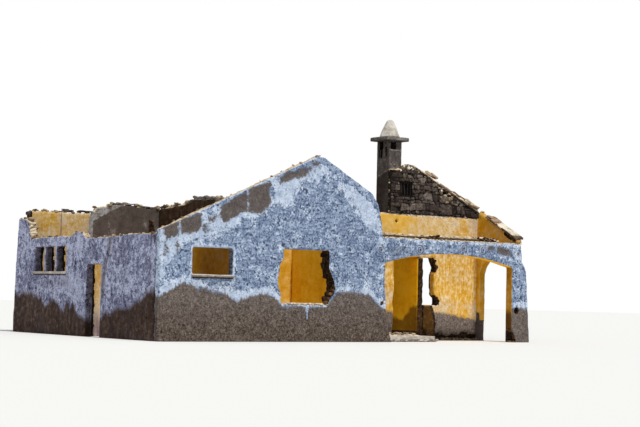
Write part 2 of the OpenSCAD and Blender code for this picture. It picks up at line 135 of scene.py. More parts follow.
# materials
class Tree:
    """A material's node tree, with short calls for the nodes that the walls need."""

    def __init__(self, name):
        self.mat = bpy.data.materials.new(name)
        self.mat.use_nodes = True
        self.mat.node_tree.nodes.clear()
        self.bsdf = self.node("BsdfPrincipled", {})
        self.node("OutputMaterial", {0: self.bsdf.outputs[0]})
        self.coord = self.node("TexCoord", {}).outputs["Object"]

    def node(self, kind, inputs, **settings):
        """A new node. inputs: a value or another node's output for each input, by its place or name."""
        made = self.mat.node_tree.nodes.new("ShaderNode" + kind)
        for name, setting in settings.items():
            setattr(made, name, setting)
        for key, value in inputs.items():
            self.link(value, made.inputs[key])
        return made

    def link(self, value, socket):
        """Connects an output to an input, or sets the input to a value."""
        if isinstance(value, bpy.types.NodeSocket):
            self.mat.node_tree.links.new(value, socket)
        elif isinstance(value, (tuple, list)) and len(value) == 3 and socket.type == "RGBA":
            socket.default_value = (*value, 1.0)
        else:
            socket.default_value = value

    def stretched(self, x, y, z):
        return self.node("Mapping", {"Vector": self.coord, "Scale": (x, y, z)}).outputs[0]

    def noise(self, scale, detail=4.0, rough=0.55, coord=None, distortion=0.0):
        return self.node("TexNoise", {"Scale": scale, "Detail": detail, "Roughness": rough,
                                      "Distortion": distortion, "Vector": coord or self.coord}).outputs["Fac"]

    def warped(self, scale, amount):
        """The coordinates pushed about by a noise."""
        push = self.node("TexNoise", {"Scale": scale, "Vector": self.coord}).outputs["Color"]
        return self.node("VectorMath", {0: push, 1: (amount, amount, amount), 2: self.coord},
                         operation="MULTIPLY_ADD").outputs[0]

    def voronoi(self, scale, feature="F1", coord=None):
        return self.node("TexVoronoi", {"Scale": scale, "Vector": coord or self.coord},
                         feature=feature).outputs["Distance"]

    def attr(self, name):
        return self.node("Attribute", {}, attribute_name=name).outputs["Fac"]

    def math(self, operation, *values):
        return self.node("Math", dict(enumerate(values)), operation=operation).outputs[0]

    def mul(self, a, b):
        return self.math("MULTIPLY", a, b)

    def mad(self, a, b, c):
        return self.math("MULTIPLY_ADD", a, b, c)

    def contrast(self, value, gain, middle=0.5):
        """The value spread about one half by this gain, and moved to this middle."""
        return self.mad(self.math("SUBTRACT", value, 0.5), gain, middle)

    def blend(self, *pairs):
        """Weighted sum of values."""
        total = None
        for value, weight in pairs:
            if weight:
                total = self.mad(value, weight, 0.0 if total is None else total)
        return total

    def span(self, value, a, b):
        """0 at a, 1 at b, held outside."""
        return self.node("MapRange", {0: value, "From Min": a, "From Max": b}).outputs[0]

    def ramp(self, value, stops):
        made = self.node("ValToRGB", {0: value})
        elements = made.color_ramp.elements
        while len(elements) < len(stops):
            elements.new(0.5)
        for element, (place, _) in zip(elements, stops):
            element.position = place
        for element, (_, colour) in zip(elements, stops):
            element.color = (*colour, 1.0)
        return made.outputs[0]

    def shades(self, value, light, *rows):
        """A ramp of display colours, each given as its place, red, green and blue."""
        return self.ramp(value, [(place, srgb(r, g, b, light)) for place, r, g, b in rows])

    def mask(self, name, grain, amount, hard):
        """An attribute whose border is broken up by a noise of mean one half."""
        reach = 1 + 0.35 * amount
        m = self.mad(grain, amount, self.mul(self.attr(name), reach))
        mid = 0.5 * (reach + amount)
        return self.span(m, mid - hard * reach, mid + hard * reach)

    def mix(self, fac, a, b, blend="MIX"):
        return self.node("Mix", {0: fac, 6: a, 7: b}, data_type="RGBA", blend_type=blend).outputs[2]

    def tint(self, colour, factor):
        return self.mix(1.0, colour, factor, "MULTIPLY")

    def finish(self, colour, height):
        bump = self.node("Bump", {"Distance": 0.02, "Height": height})
        for name, value in (("Base Color", colour), ("Roughness", 0.92), ("Specular IOR Level", 0.15),
                            ("Normal", bump.outputs[0])):
            self.link(value, self.bsdf.inputs[name])
        return self.mat


def srgb(r, g, b, light=1.0):
    """A display colour as albedo, for a surface that gets this share of the light."""
    def lin(c):
        c /= 255
        return min((c / 12.92 if c <= 0.04045 else ((c + 0.055) / 1.055) ** 2.4) / light, 0.92)
    return (lin(r), lin(g), lin(b))


def lit(light, *colours):
    """Display colours as albedo, all in this share of the light."""
    return [srgb(*colour, light) for colour in colours]


class WallTree(Tree):
    """The noises and painted masks that the layers of a wall share."""

    def __init__(self, name):
        super().__init__(name)
        self.patch = self.noise(2.2, 5.0, 0.6)
        self.blotch = self.noise(6.0, 5.0, 0.6)
        self.fleck = self.noise(15.0, 6.0, 0.72)
        self.grit = self.noise(46.0, 4.0, 0.7)
        self.dots = self.noise(12.0, 3.0, 0.6, distortion=0.8)
        self.streak = self.noise(1.0, 5.0, 0.62, coord=self.stretched(6.5, 6.5, 1.1))
        self.thin = self.noise(1.0, 5.0, 0.68, coord=self.stretched(16.0, 16.0, 3.8))
        self.pore = self.span(self.noise(19.0, 3.0, 0.6, distortion=1.2), 0.57, 0.62)
        self.white, self.low = self.attr("white"), self.attr("low")


def limewash(t, tones, weights, gain, base, specks):
    """A weathered ground, crisp flakes of wash where it still holds, dark flecks where it is gone."""
    band = t.noise(1.0, 4.0, 0.65, coord=t.stretched(3.0, 3.0, 15.0))
    mottle = t.blend(*zip((t.patch, t.blotch, t.fleck, t.streak, t.thin, band), weights))
    ground = t.ramp(t.contrast(mottle, gain), list(zip((0.05, 0.35, 0.65, 0.98), tones)))
    flake = t.contrast(t.blend((t.patch, 0.2), (t.blotch, 0.45), (t.fleck, 0.35)), 4.2,
                       t.mad(t.white, 1.7, base - 1.0))
    wash = t.ramp(t.contrast(t.blend((t.fleck, 0.5), (t.blotch, 0.5)), 3.0, 0.55),
                  [(0.22, tones[2]), (0.85, tones[3])])
    colour = t.mix(t.mul(t.span(flake, -0.14, 0.14), 0.92), ground, wash)
    pits = t.mul(t.span(t.blend((t.dots, 0.8), (t.thin, 0.2)), 0.525, 0.565), t.span(flake, 1.3, -0.1))
    pits = t.mul(pits, t.span(t.blend((t.blotch, 0.5), (t.patch, 0.5)), 0.42, 0.50))
    return t.mix(t.mul(pits, specks), colour, tuple(c * 0.8 for c in tones[0]))


def ochre_plaster(t):
    """Deep on shaded faces and pale on sunlit ones, as painted light, and paled in upright streaks by the
    weather.
    """
    run = t.blend((t.patch, 0.4), (t.blotch, 0.35), (t.fleck, 0.25))
    run = t.contrast(run, t.mad(t.span(t.white, -1.0, 0.0), 0.5, 0.25))
    drips = t.blend((t.thin, 0.4), (t.streak, 0.15), (t.fleck, 0.2), (t.blotch, 0.25))
    run = t.mad(t.math("SUBTRACT", drips, run), t.span(t.white, 0.0, 1.0), run)
    sunlit_and_faded = t.shades(t.contrast(run, 4.2, 0.48), 1.0, (0.12, 188, 134, 34), (0.42, 206, 162, 68),
                     (0.56, 216, 180, 110), (0.74, 232, 212, 172))
    deep = t.shades(t.contrast(t.blend((t.patch, 0.45), (t.blotch, 0.3), (t.fleck, 0.25)), 2.6), 1.0,
                    (0.1, 216, 150, 10), (0.5, 249, 184, 14), (0.9, 250, 198, 54))
    # painted light: the pale ochre goes on sunlit faces, the deep ochre on shaded ones
    ochre = t.mix(t.attr("sunlight_and_fade"), deep, sunlit_and_faded)
    return t.mix(t.low, ochre, t.tint(ochre, (0.60, 0.52, 0.9)))


def bare_render(t, light):
    """The grey render under the paint."""
    grain = t.blend((t.fleck, 0.45), (t.grit, 0.35), (t.blotch, 0.2))
    return t.shades(grain, light, (0.38, 58, 51, 49), (0.47, 85, 77, 75), (0.55, 98, 90, 87),
                    (0.65, 130, 121, 115))


def plinth_render(t, light):
    """Coarse render, darker, pitted and cracked towards the ground."""
    sand = t.noise(27.0, 4.0, 0.7)
    coarse = t.blend((t.fleck, 0.2), (t.grit, 0.2), (sand, 0.3), (t.dots, 0.1), (t.blotch, 0.1),
                     (t.patch, 0.1))
    coarse = t.contrast(coarse, 2.0, t.mad(t.low, -0.03, 0.515))
    plinth = t.shades(coarse, light, (0.36, 56, 45, 39), (0.45, 90, 79, 71), (0.54, 108, 96, 87),
                      (0.68, 146, 131, 117))
    plinth = t.mix(t.low, t.tint(plinth, (0.93, 0.98, 1.08)), plinth)
    plinth = t.mix(t.mul(t.pore, t.mad(t.low, 0.75, 0.2)), plinth, srgb(42, 32, 27, light))
    seam = t.voronoi(4.2, "DISTANCE_TO_EDGE", t.warped(5.0, 0.35))
    crack = t.mul(t.span(seam, 0.07, 0.02), t.span(t.mad(t.low, 0.12, t.patch), 0.45, 0.6))
    return t.mix(t.mul(crack, 0.55), plinth, srgb(44, 33, 27, light))


def stained(t, colour, m_ochre, light):
    """Damp and soot, climbing in spikes. On the ochre they brown the plaster. The same mask also paints
    shadow lines under the sills, and the last mix darkens the colour with painted shade in reveals, jambs and
    shaded faces, and with grime and stains.
    """
    spikes = t.blend((t.streak, 0.35), (t.thin, 0.25), (t.fleck, 0.2), (t.blotch, 0.2))
    soak = t.contrast(t.blend((t.streak, 0.3), (t.blotch, 0.3), (t.fleck, 0.4)), 3.0)
    stain = t.shades(soak, light, (0.12, 24, 13, 5), (0.5, 48, 31, 16), (0.9, 86, 67, 49))
    stain = t.mix(m_ochre, stain, t.tint(colour, (0.26, 0.24, 0.5)))
    colour = t.mix(t.mul(t.mask("damp_and_shadow", spikes, 3.2, 0.17), 0.95), colour, stain)
    # painted shade in reveals, jambs and shaded faces, and grime and stains, darken the colour
    return t.mix(t.attr("shade_and_grime"), colour, t.tint(colour, (0.40, 0.34, 0.31)))


def broken_core(t):
    """Lumps of stone in pale mortar."""
    stone = t.shades(t.fleck, 1.0, (0.34, 112, 92, 74), (0.5, 188, 166, 138), (0.66, 236, 222, 198))
    stone = t.mix(t.mul(t.span(t.voronoi(7.5), 0.5, 0.7), 0.8), stone, srgb(84, 66, 52))
    return t.mix(t.span(t.voronoi(7.5, "DISTANCE_TO_EDGE"), 0.05, 0.01), stone, srgb(232, 218, 192))


def dark_hollow(t):
    """Near-black painted shade in deep breaks, holes and the flue, darker still near the ground and at the
    chimney's top; the same colour also paints soot and soaked stains.
    """
    dark = t.shades(t.blend((t.fleck, 0.4), (t.blotch, 0.3), (t.dots, 0.3)), 1.0, (0.4, 10, 6, 4),
                    (0.5, 38, 24, 14), (0.6, 98, 72, 48))
    return t.mix(t.low, dark, t.tint(dark, (0.2, 0.2, 0.2)))


def wall_material(name, tones, weights, gain=2.6, base=0.1, light=1.0, specks=0.7):
    """Limewashed or rendered masonry. tones: four colours from the darkest fleck to the whitest wash.
    weights: how much the patches, blotches, flecks, upright streaks, thin streaks and level bands count."""
    t = WallTree(name)
    m_ochre = t.mask("ochre", t.blotch, 0.3, 0.06)
    m_pale = t.mask("pale", t.blend((t.blotch, 0.3), (t.fleck, 0.35), (t.thin, 0.35)), 2.2, 0.16)
    m_bare = t.mask("bare", t.blend((t.fleck, 0.62), (t.blotch, 0.38)), 3.2, 0.06)
    m_plinth = t.mask("plinth", t.blend((t.thin, 0.3), (t.streak, 0.1), (t.fleck, 0.3), (t.blotch, 0.3)),
                      3.2, 0.07)
    m_hollow = t.mask("hollow", t.blend((t.fleck, 0.6), (t.blotch, 0.4)), 1.0, 0.08)
    colour = t.mix(m_ochre, limewash(t, tones, weights, gain, base, specks), ochre_plaster(t))
    colour = t.mix(t.mul(m_pale, 0.85), colour,
                   t.shades(t.fleck, 1.0, (0.35, 186, 162, 134), (0.6, 220, 202, 172)))
    colour = t.mix(m_bare, colour, bare_render(t, light))
    colour = t.mix(m_plinth, colour, plinth_render(t, light))
    colour = stained(t, colour, m_ochre, light)
    colour = t.mix(t.mask("core", t.fleck, 0.8, 0.05), colour, broken_core(t))
    colour = t.mix(m_hollow, colour, dark_hollow(t))
    height = t.mad(m_bare, -0.6, t.mad(t.grit, 0.25, t.mul(t.fleck, 0.6)))
    return t.finish(colour, t.mad(t.mul(t.pore, t.low), -0.9, height))


def stone_material(name, colours, light=1.0, contrast=1.0, fleck_scale=12.0):
    """Stone, tile or wood. Each piece's own tone picks its place between the four colours."""
    t = Tree(name)
    fleck = t.noise(fleck_scale, 8.0, 0.72)
    value = t.contrast(fleck, 1.7 * contrast, t.mad(t.attr("tone"), 0.8, 0.1))
    colour = t.ramp(value, list(zip((0.0, 0.35, 0.65, 1.0), lit(light, *colours))))
    return t.finish(colour, t.mad(t.noise(55.0, 4.0, 0.7), 0.4, fleck))


GABLE = wall_material("limewash_front",
                      lit(1.0, (58, 70, 96), (110, 126, 154), (152, 168, 192), (206, 217, 235)),
                      (0.1, 0.26, 0.38, 0.0, 0.1, 0.16), 5.3, specks=0.95)
WING = wall_material("wing_render",
                     lit(SHADE, (42, 42, 56), (98, 100, 123), (134, 138, 162), (172, 175, 197)),
                     (0.22, 0.25, 0.23, 0.12, 0.18, 0.0), 5.4, 0.24, SHADE, 0.9)
INNER = wall_material("inner_plaster", lit(SHADE, (42, 33, 29), (74, 60, 52), (104, 98, 98), (150, 153, 166)),
                      (0.3, 0.3, 0.2, 0.1, 0.1, 0), 2.6, 0.0, SHADE, 0.4)
LITWALL = wall_material("sunlit_plaster", lit(1.0, (46, 37, 32), (78, 68, 62), (96, 86, 79), (168, 165, 164)),
                        (0.3, 0.3, 0.2, 0.1, 0.1, 0), 2.6, 0.1, 0.76, 0.4)
OUTER = wall_material("outer_render",
                      lit(1.0, (64, 68, 82), (114, 120, 140), (150, 157, 178), (194, 201, 218)),
                      (0.2, 0.25, 0.3, 0.1, 0.15, 0), 4.2, specks=0.9)
STACK = wall_material("chimney_render", lit(1.0, (38, 34, 34), (80, 73, 70), (106, 98, 93), (150, 142, 136)),
                      (0.2, 0.3, 0.3, 0.1, 0.1, 0), 3.2, -0.1, specks=0.5)
RUBBLE = stone_material("rubble_stone", ((28, 22, 19), (58, 48, 43), (82, 72, 66), (122, 114, 106)), 1.0, 1.3)
DEEPGAP = stone_material("deep_joint", ((16, 12, 10), (32, 25, 21), (48, 38, 32), (70, 58, 48)))
# near-black painted shade for the attic behind its shutter, the jambs' broken inner edges and the bosses'
# sockets
SHADE_BLACK = stone_material("painted_shade_black", ((5, 4, 4), (9, 7, 6), (14, 11, 10), (24, 20, 18)), 1.0, 0.8)
LOOSE = stone_material("loose_stone", ((58, 45, 36), (112, 94, 77), (168, 146, 119), (222, 203, 172)),
                       contrast=1.1)
PALE = stone_material("broken_block", ((96, 78, 60), (166, 146, 118), (212, 194, 166), (236, 226, 206)),
                      contrast=1.1)
TILE = stone_material("roof_tile", ((84, 62, 48), (142, 116, 92), (192, 170, 144), (236, 224, 204)),
                      0.95, 0.6)
SLAB = stone_material("weathered_slab", ((54, 47, 43), (90, 84, 80), (116, 110, 106), (150, 144, 138)), 0.8)
CONCRETE = stone_material("weathered_concrete", ((104, 95, 86), (150, 142, 132), (182, 173, 162),
                                                 (212, 204, 193)), 0.97, 0.9)
# dark broken masonry, near-black where it also stands for the shade in a broken reveal
BROKEN_AND_SHADE = stone_material("broken_masonry_and_shade", ((18, 10, 5), (44, 27, 13), (72, 49, 29), (122, 96, 66)), 0.9, 1.4)
MORTAR = stone_material("lime_mortar", ((62, 50, 42), (120, 104, 88), (206, 194, 174), (234, 226, 210)))
CONE = stone_material("cone_render", ((134, 126, 116), (180, 173, 162), (204, 198, 188), (226, 221, 213)),
                      1.0, 1.2, 9.0)
WOOD = stone_material("weathered_wood", ((18, 15, 14), (34, 29, 26), (52, 46, 42), (84, 77, 70)), 1.0, 0.8)
WASH = stone_material("boss_wash", ((112, 122, 146), (158, 170, 192), (190, 200, 220), (206, 216, 232)))


# building pieces
def add_object(name, data):
    """A new object in the scene."""
    made = bpy.data.objects.new(name, data)
    bpy.context.scene.collection.objects.link(made)
    return made


def place(name, mesh, material, slot, nodes=()):
    """A visible piece, which stands for these CAD nodes."""
    mesh.materials.clear()
    mesh.materials.append(material)
    mesh.polygons.foreach_set("use_smooth", [True] * len(mesh.polygons))
    piece = add_object(name, mesh)
    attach(piece, "root")
    if nodes:
        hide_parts(*nodes)


def put_values(mesh, name, values):
    """Gives each point of a mesh its value, under this name."""
    data = mesh.attributes.new(name, "FLOAT", "POINT").data
    data.foreach_set("value", np.asarray(values, dtype=np.float32))


def add_piece(name, verts, faces, material, slot, tones):
    """A visible piece of its own, with a tone for each point."""
    mesh = bpy.data.meshes.new(name)
    mesh.from_pydata([tuple(v) for v in verts], [], faces)
    mesh.validate()
    mesh.update()
    put_values(mesh, "tone", tones)
    place(name, mesh, material, slot)


def remeshed(nodes, voxel):
    """One closed mesh around these CAD nodes, in even quads."""
    bm = bmesh.new()
    for n in nodes:
        bm.from_mesh(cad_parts[n].data)
    mesh = bpy.data.meshes.new("joined")
    bm.to_mesh(mesh)
    bm.free()
    joined = add_object("joined", mesh)
    mod = joined.modifiers.new("voxels", "REMESH")
    mod.mode = "VOXEL"
    mod.voxel_size = voxel
    made = bpy.data.meshes.new_from_object(joined.evaluated_get(bpy.context.evaluated_depsgraph_get()))
    bpy.data.objects.remove(joined)
    bpy.data.meshes.remove(mesh)
    return made


# masks painted on the walls; some also paint light and shade into the colour: paler ochre on sunlit faces,
# shadow lines under the sills, shade in reveals, jambs, holes and hollows
MASKS = ("white", "ochre", "sunlight_and_fade", "pale", "bare", "plinth", "low", "damp_and_shadow", "shade_and_grime", "core", "hollow", "tone")
# points on the top of each wall, for the stones that lie there
TOPS = {}


class Surface:
    """The points of a wall in the house's own frame, their normals, and the masks painted on them."""

    def __init__(self, mesh):
        self.points, self.normals = (self.vectors(mesh, name) for name in ("co", "normal"))
        self.u, self.v, self.z = (self.points - np.array(ORIGIN)).T
        self.nu, self.nv, self.nz = self.normals.T
        self.top = ramp01(self.nz, 0.40, 0.70)
        self.masks = {name: np.zeros(len(self.u)) for name in MASKS}
        self.relief = 0.0

    def vectors(self, mesh, name):
        values = np.empty(len(mesh.vertices) * 3)
        mesh.vertices.foreach_get(name, values)
        return values.reshape(-1, 3)

    def noise(self, frequency, seed, octaves=3, stretch=(1, 1, 1)):
        return fbm(self.points * np.array(stretch), frequency, seed, octaves)

    def more(self, name, amount):
        """Raises a mask to this amount where it is lower."""
        self.masks[name] = np.maximum(self.masks[name], amount)

    def put(self, name, where, amount):
        """Sets a mask to this amount there."""
        self.masks[name] = np.where(where, amount, self.masks[name])


def wall(name, nodes, material, slot, paint, voxel, worn, seed, rough=1.0):
    """A visual wall: the CAD nodes in even quads, worn along edges, with masks painted by position."""
    mesh = remeshed(nodes, voxel)
    s = Surface(mesh)
    paint(s, s.u, s.v, s.z)
    edge = np.clip((1 - np.abs(s.normals).max(axis=1)) * 4, 0, 1)
    depth = rough * (0.004 * s.noise(1.3, seed) + 0.005 * s.noise(6.0, seed + 9, 2))
    depth -= worn * edge * (0.3 + 0.7 * np.clip(s.noise(3.5, seed + 3) + 0.35, 0, 1))
    bare = np.maximum(s.masks["bare"], s.masks["plinth"])
    depth -= 0.014 * ramp01(bare + 0.35 * s.noise(7.0, seed + 5, 2), 0.4, 0.6)
    broken = np.maximum(s.masks["core"], s.masks["hollow"])
    depth += broken * (0.03 * s.noise(6.5, seed + 21, 2) - 0.012) + s.relief
    depth[(s.points[:, 2] < 0.03) & (s.nz < -0.3)] = 0
    TOPS[name] = s.points[s.nz > 0.9]
    points = s.points + s.normals * depth[:, None]
    points[:, 2] = np.maximum(points[:, 2], 0.0)
    mesh.vertices.foreach_set("co", points.ravel())
    mesh.update()
    for mask, values in s.masks.items():
        put_values(mesh, mask, values)
    place(name, mesh, material, slot, nodes)


def stone_verts(size, centre, rng, cuts, jitter=0.12, turn=0.1, square=5.0, lean=0.2):
    """A rounded, uneven block as (verts, faces), in the house's own frame."""
    bm = bmesh.new()
    bmesh.ops.create_cube(bm, size=2.0)
    bmesh.ops.subdivide_edges(bm, edges=bm.edges[:], cuts=cuts, use_grid_fill=True)
    turns = [Matrix.Rotation(rng.uniform(-turn, turn), 3, axis) for axis in "YZX"]
    rot = turns[0] @ turns[1] @ turns[2]
    off = [rng.uniform(0, 100) for _ in range(3)]
    skew = [rng.uniform(-lean, lean) for _ in range(3)]
    verts = []
    for bv in bm.verts:
        p = bv.co.copy()
        p /= (abs(p.x) ** square + abs(p.y) ** square + abs(p.z) ** square) ** (1 / square)
        p *= 1 + jitter * math.sin(p.x * 3.1 + off[0]) * math.cos(p.z * 2.7 + off[1]) \
            + jitter * 0.6 * math.sin(p.y * 5.3 + p.z * 4.1 + off[2])
        p.x += skew[0] * p.z
        p.z += skew[1] * p.x
        half = Vector((p.x * size[0] / 2, p.y * size[1] / 2, p.z * size[2] / 2))
        verts.append(rot @ half + Vector(centre))
    faces = [[w.index for w in f.verts] for f in bm.faces]
    bm.free()
    return verts, faces


def join_stones(name, stones, material, slot):
    """One visible piece out of many stones, each given as its (verts, faces) and its tone."""
    verts, faces, tones = [], [], []
    for (vs, fs), tone in stones:
        base = len(verts)
        verts += [Vector(p) + ORIGIN for p in vs]
        faces += [[i + base for i in f] for f in fs]
        tones += [tone] * len(vs)
    add_piece(name, verts, faces, material, slot, tones)


# paint by position
def inside_ochre(s, where, top):
    """Ochre plaster below the old ceiling, with a grey dado and bare foot."""
    s.more("ochre", where * (s.z < top + 0.06 * s.noise(2.5, 5, 2)))
    s.more("bare", where * ramp01(0.62 + 0.16 * s.noise(1.6, 6) - s.z, -0.08, 0.08))


def outside(s, where, seed):
    """Limewash over a worn plinth, on an outer face."""
    for name in ("ochre", "bare", "sunlight_and_fade", "damp_and_shadow", "pale", "shade_and_grime", "low"):
        s.put(name, where, 0.0)
    s.put("white", where, np.clip(0.7 + 0.5 * s.noise(0.9, seed), 0, 1))
    top = 0.95 + 0.25 * s.noise(0.8, seed + 1) + 0.08 * s.noise(3.0, seed + 2)
    s.more("plinth", ramp01(top - s.z, -0.25, 0.25) * where)
    s.more("low", ramp01(0.6 - s.z, -0.3, 0.5) * where)


# lost paint on the front, as outlines in u and z, and how bare each is
LOST = [
    ([(0.14, 3.14), (0.57, 3.25), (0.6, 2.91), (0.48, 2.84), (0.35, 2.74), (0.22, 2.81), (0.13, 2.98)], 1.0),
    ([(0.67, 3.31), (1.29, 3.48), (1.38, 3.23), (1.24, 3.06), (0.97, 2.99), (0.71, 2.92)], 1.0),
    ([(1.32, 3.3), (1.66, 3.28), (1.7, 2.98), (1.5, 2.9), (1.3, 2.98)], 0.66),
    ([(1.52, 3.52), (1.9, 3.64), (1.98, 3.44), (1.8, 3.22), (1.52, 3.28)], 0.6),
    ([(2.02, 3.78), (2.85, 4.2), (2.92, 4.08), (2.92, 3.69), (2.45, 3.52), (2.11, 3.34), (2.02, 3.52)], 1.0),
    ([(3.0, 4.32), (3.7, 4.55), (3.7, 4.2), (3.64, 3.9), (3.4, 3.68), (3.0, 3.69)], 1.0),
    ([(4.0, 4.72), (4.26, 4.9), (4.92, 5.1), (5.25, 5.16), (5.2, 5.02), (5.0, 4.84), (4.41, 4.66),
      (4.05, 4.5)], 0.78),
    ([(5.13, 5.25), (5.51, 5.34), (5.47, 5.15), (5.25, 5.16)], 0.75),
    ([(0.11, 2.7), (0.22, 2.7), (0.24, 2.34), (0.15, 2.31)], 0.75),
    ([(0.49, 2.71), (0.65, 2.78), (0.66, 2.27), (0.52, 2.21)], 0.62),
    ([(0.98, 2.9), (1.32, 2.88), (1.3, 2.72), (1.0, 2.7)], 0.55),
    ([(12.36, 2.8), (12.4, 3.05), (12.7, 3.05), (12.72, 2.92), (12.52, 2.86)], 0.74),
    ([(12.8, 3.02), (13.06, 3.0), (13.36, 2.92), (13.46, 2.82), (13.19, 2.78), (12.87, 2.85)], 0.84),
    ([(13.36, 2.84), (13.58, 2.82), (13.54, 2.64), (13.4, 2.66)], 0.72),
    ([(13.7, 2.88), (13.9, 2.88), (13.88, 2.75), (13.73, 2.76)], 0.66),
]
# limewash that still holds, in the same way
HELD = [
    ([(-0.1, 3.14), (0.63, 3.31), (1.96, 3.87), (2.99, 4.3), (3.83, 4.7), (3.78, 3.91), (3.43, 3.62),
      (2.88, 3.39), (2.33, 3.02), (1.65, 2.82), (0.98, 2.62), (0.66, 2.44), (0.34, 2.03),
      (-0.04, 1.46)], 0.92),
    ([(3.83, 4.68), (5.14, 5.25), (5.88, 5.45), (6.04, 5.06), (5.53, 4.67), (4.86, 4.56), (4.72, 4.2),
      (4.58, 3.89), (4.07, 3.86), (3.78, 3.97)], 0.86),
    ([(6.13, 4.7), (6.66, 4.86), (7.3, 4.53), (7.78, 4.12), (8.0, 3.26), (7.49, 3.24), (7.17, 3.6),
      (6.92, 3.89), (6.68, 4.31), (6.21, 4.46)], 0.9),
    ([(7.81, 3.16), (8.69, 3.13), (8.7, 2.85), (8.14, 2.71), (7.86, 2.76)], 0.72),
    ([(7.0, 2.0), (8.1, 2.3), (8.15, 1.2), (7.4, 1.3), (6.6, 1.5)], 0.40),
    ([(0.0, 1.9), (1.1, 1.75), (0.8, 1.4), (0.0, 1.1)], 0.55),
]
# top of the worn plinth and the strength of the wash along it, by u
PLINTH_TOP = [(0, 1.15), (0.8, 1.54), (1.39, 1.38), (2.23, 1.26), (2.65, 1.05), (3.28, 1.24), (3.86, 1.25),
              (4.24, 0.93), (5.88, 0.90), (6.25, 1.36), (6.95, 1.38), (7.6, 1.31), (7.87, 1.02), (8.14, 0.90)]
PLINTH_RIM = [(0, 0.9), (0.9, 0.8), (1.2, 0.45), (2.0, 0.45), (2.3, 0.85), (4.2, 0.95), (4.4, 0.8),
              (5.8, 0.8), (6.2, 0.5), (7.0, 0.4), (7.5, 0.8), (8.1, 0.9)]
# right slope of the front gable, with a band of painted shade along its rounded edge
FAR_SLOPE = [(5.4, 5.5), (5.7, 5.44), (6.1, 5.22), (6.66, 4.89), (7.14, 4.58), (7.54, 4.36), (7.8, 4.09),
             (7.97, 3.7), (8.0, 3.3)]


def along(x, table):
    """The value of a table of places and values at x, in straight lines between them."""
    return np.interp(x, *zip(*table))


def front_wash(s, u, z, n1, n2, plinth_top, drip):
    """How well the limewash holds on the front."""
    wash = 0.24 + 0.2 * n1
    for outline, amount in HELD:
        wash = np.maximum(wash, (amount + 0.35 * n1) * area(u, z, outline, 0.26, 0.04 + 0.2 * n2))
    above = z - plinth_top
    rim = along(u, PLINTH_RIM) + 0.5 * s.noise(1.7, 34)
    wash = np.maximum(wash, rim * bump_at(above, 0.10, 0.2) * (above > -0.2))
    for window, amount, reach in ((SMALL_WINDOW, 0.86, 0.15), (LARGE_WINDOW, 0.42, 0.25)):
        wash = np.maximum(wash, amount * (1 - ramp01(past_frame(u, z, window), 0.05, reach)))
    far = along(u, FAR_SLOPE)
    # painted shade: the wash thins in a band along the right slope
    wash = wash * (1 - 0.75 * ramp01(z, far - 0.26, far - 0.16) * within(u, 5.5, 8.05) * (z > 3.3))
    near = 3.05 + 0.45 * u
    wash = np.maximum(wash, 0.8 * (1 - ramp01(near - z, 0.03, 0.09)) * (u < 5.5))
    wash -= 0.30 * area(u, z, [(0.65, 2.72), (1.01, 2.79), (1.02, 2.45), (0.66, 2.38)], 0.1)
    wash = np.maximum(wash, 0.85 * drip)
    arch = ramp01(u, 8.2, 8.9) * ramp01(z, 2.1, 2.4)
    over_arch = 0.28 + 0.3 * n1 + 0.25 * ramp01(z, 2.95, 3.12) + 0.16 * ramp01(u, 12.0, 13.0)
    wash = wash * (1 - arch) + arch * over_arch
    pier = ramp01(u, 13.4, 13.5) * (z < 2.6)
    return wash * (1 - pier) + pier * (0.16 + 0.3 * n1 + 0.45 * bump_at(z, 1.12, 0.14))


def front_edges(s, u, z, face):
    """Reveals, broken edges and the painted shadow under the sill; the large window's broken right reveal is
    painted dark as shade.
    """
    # painted shadow under the small window's sill
    s.more("damp_and_shadow", 0.95 * within(z, 1.685, 1.735) * within(u, 1.06, 2.5) * face)
    level = within(z, 0.9, 2.66)
    # painted shade in the large window's broken right reveal
    s.put("hollow", (s.nu < -0.35) & within(u, 5.6, 6.4) & level, 1.0)
    s.put("core", (s.nu > 0.35) & within(u, 3.9, 4.5) & level, 0.38)
    s.more("core", s.top * (z > 2.8))
    s.more("core", s.top * within(z, 0.9, 1.1) * within(u, 4, 6.2))
    inside_ochre(s, (s.nv > 0.5) & within(u, 0.3, 8.2), 2.85)


def front_shade(s, u, z, n2, face):
    """Painted shade in the small window's reveal and beside the bosses; darker under its sill, and flecks by
    the arch.
    """
    reveal = (s.nu < -0.5) & within(u, 2.3, 2.6) & within(z, 1.7, 2.6)
    below_sill = area(u, z, [(1.1, 1.72), (2.5, 1.72), (2.5, 1.4), (1.3, 1.45)], 0.2, 0.1 * n2)
    s.more("shade_and_grime", reveal * 0.85 + 0.3 * below_sill * face)
    for bu, bz in BOSSES:
        ring = 1 - ramp01(np.hypot(u - bu - 0.02, z - bz - 0.02), 0.11, 0.17)
        s.more("shade_and_grime", ring * np.clip(0.5 + 3.0 * (u - bu + z - bz), 0.15, 0.95) * face)
    flecks = area(u, z, [(8.3, 2.9), (9.0, 2.9), (9.05, 2.66), (8.4, 2.55)], 0.15)
    s.more("shade_and_grime", 0.75 * flecks * ramp01(s.noise(9.0, 36, 2), 0.0, 0.3) * face)


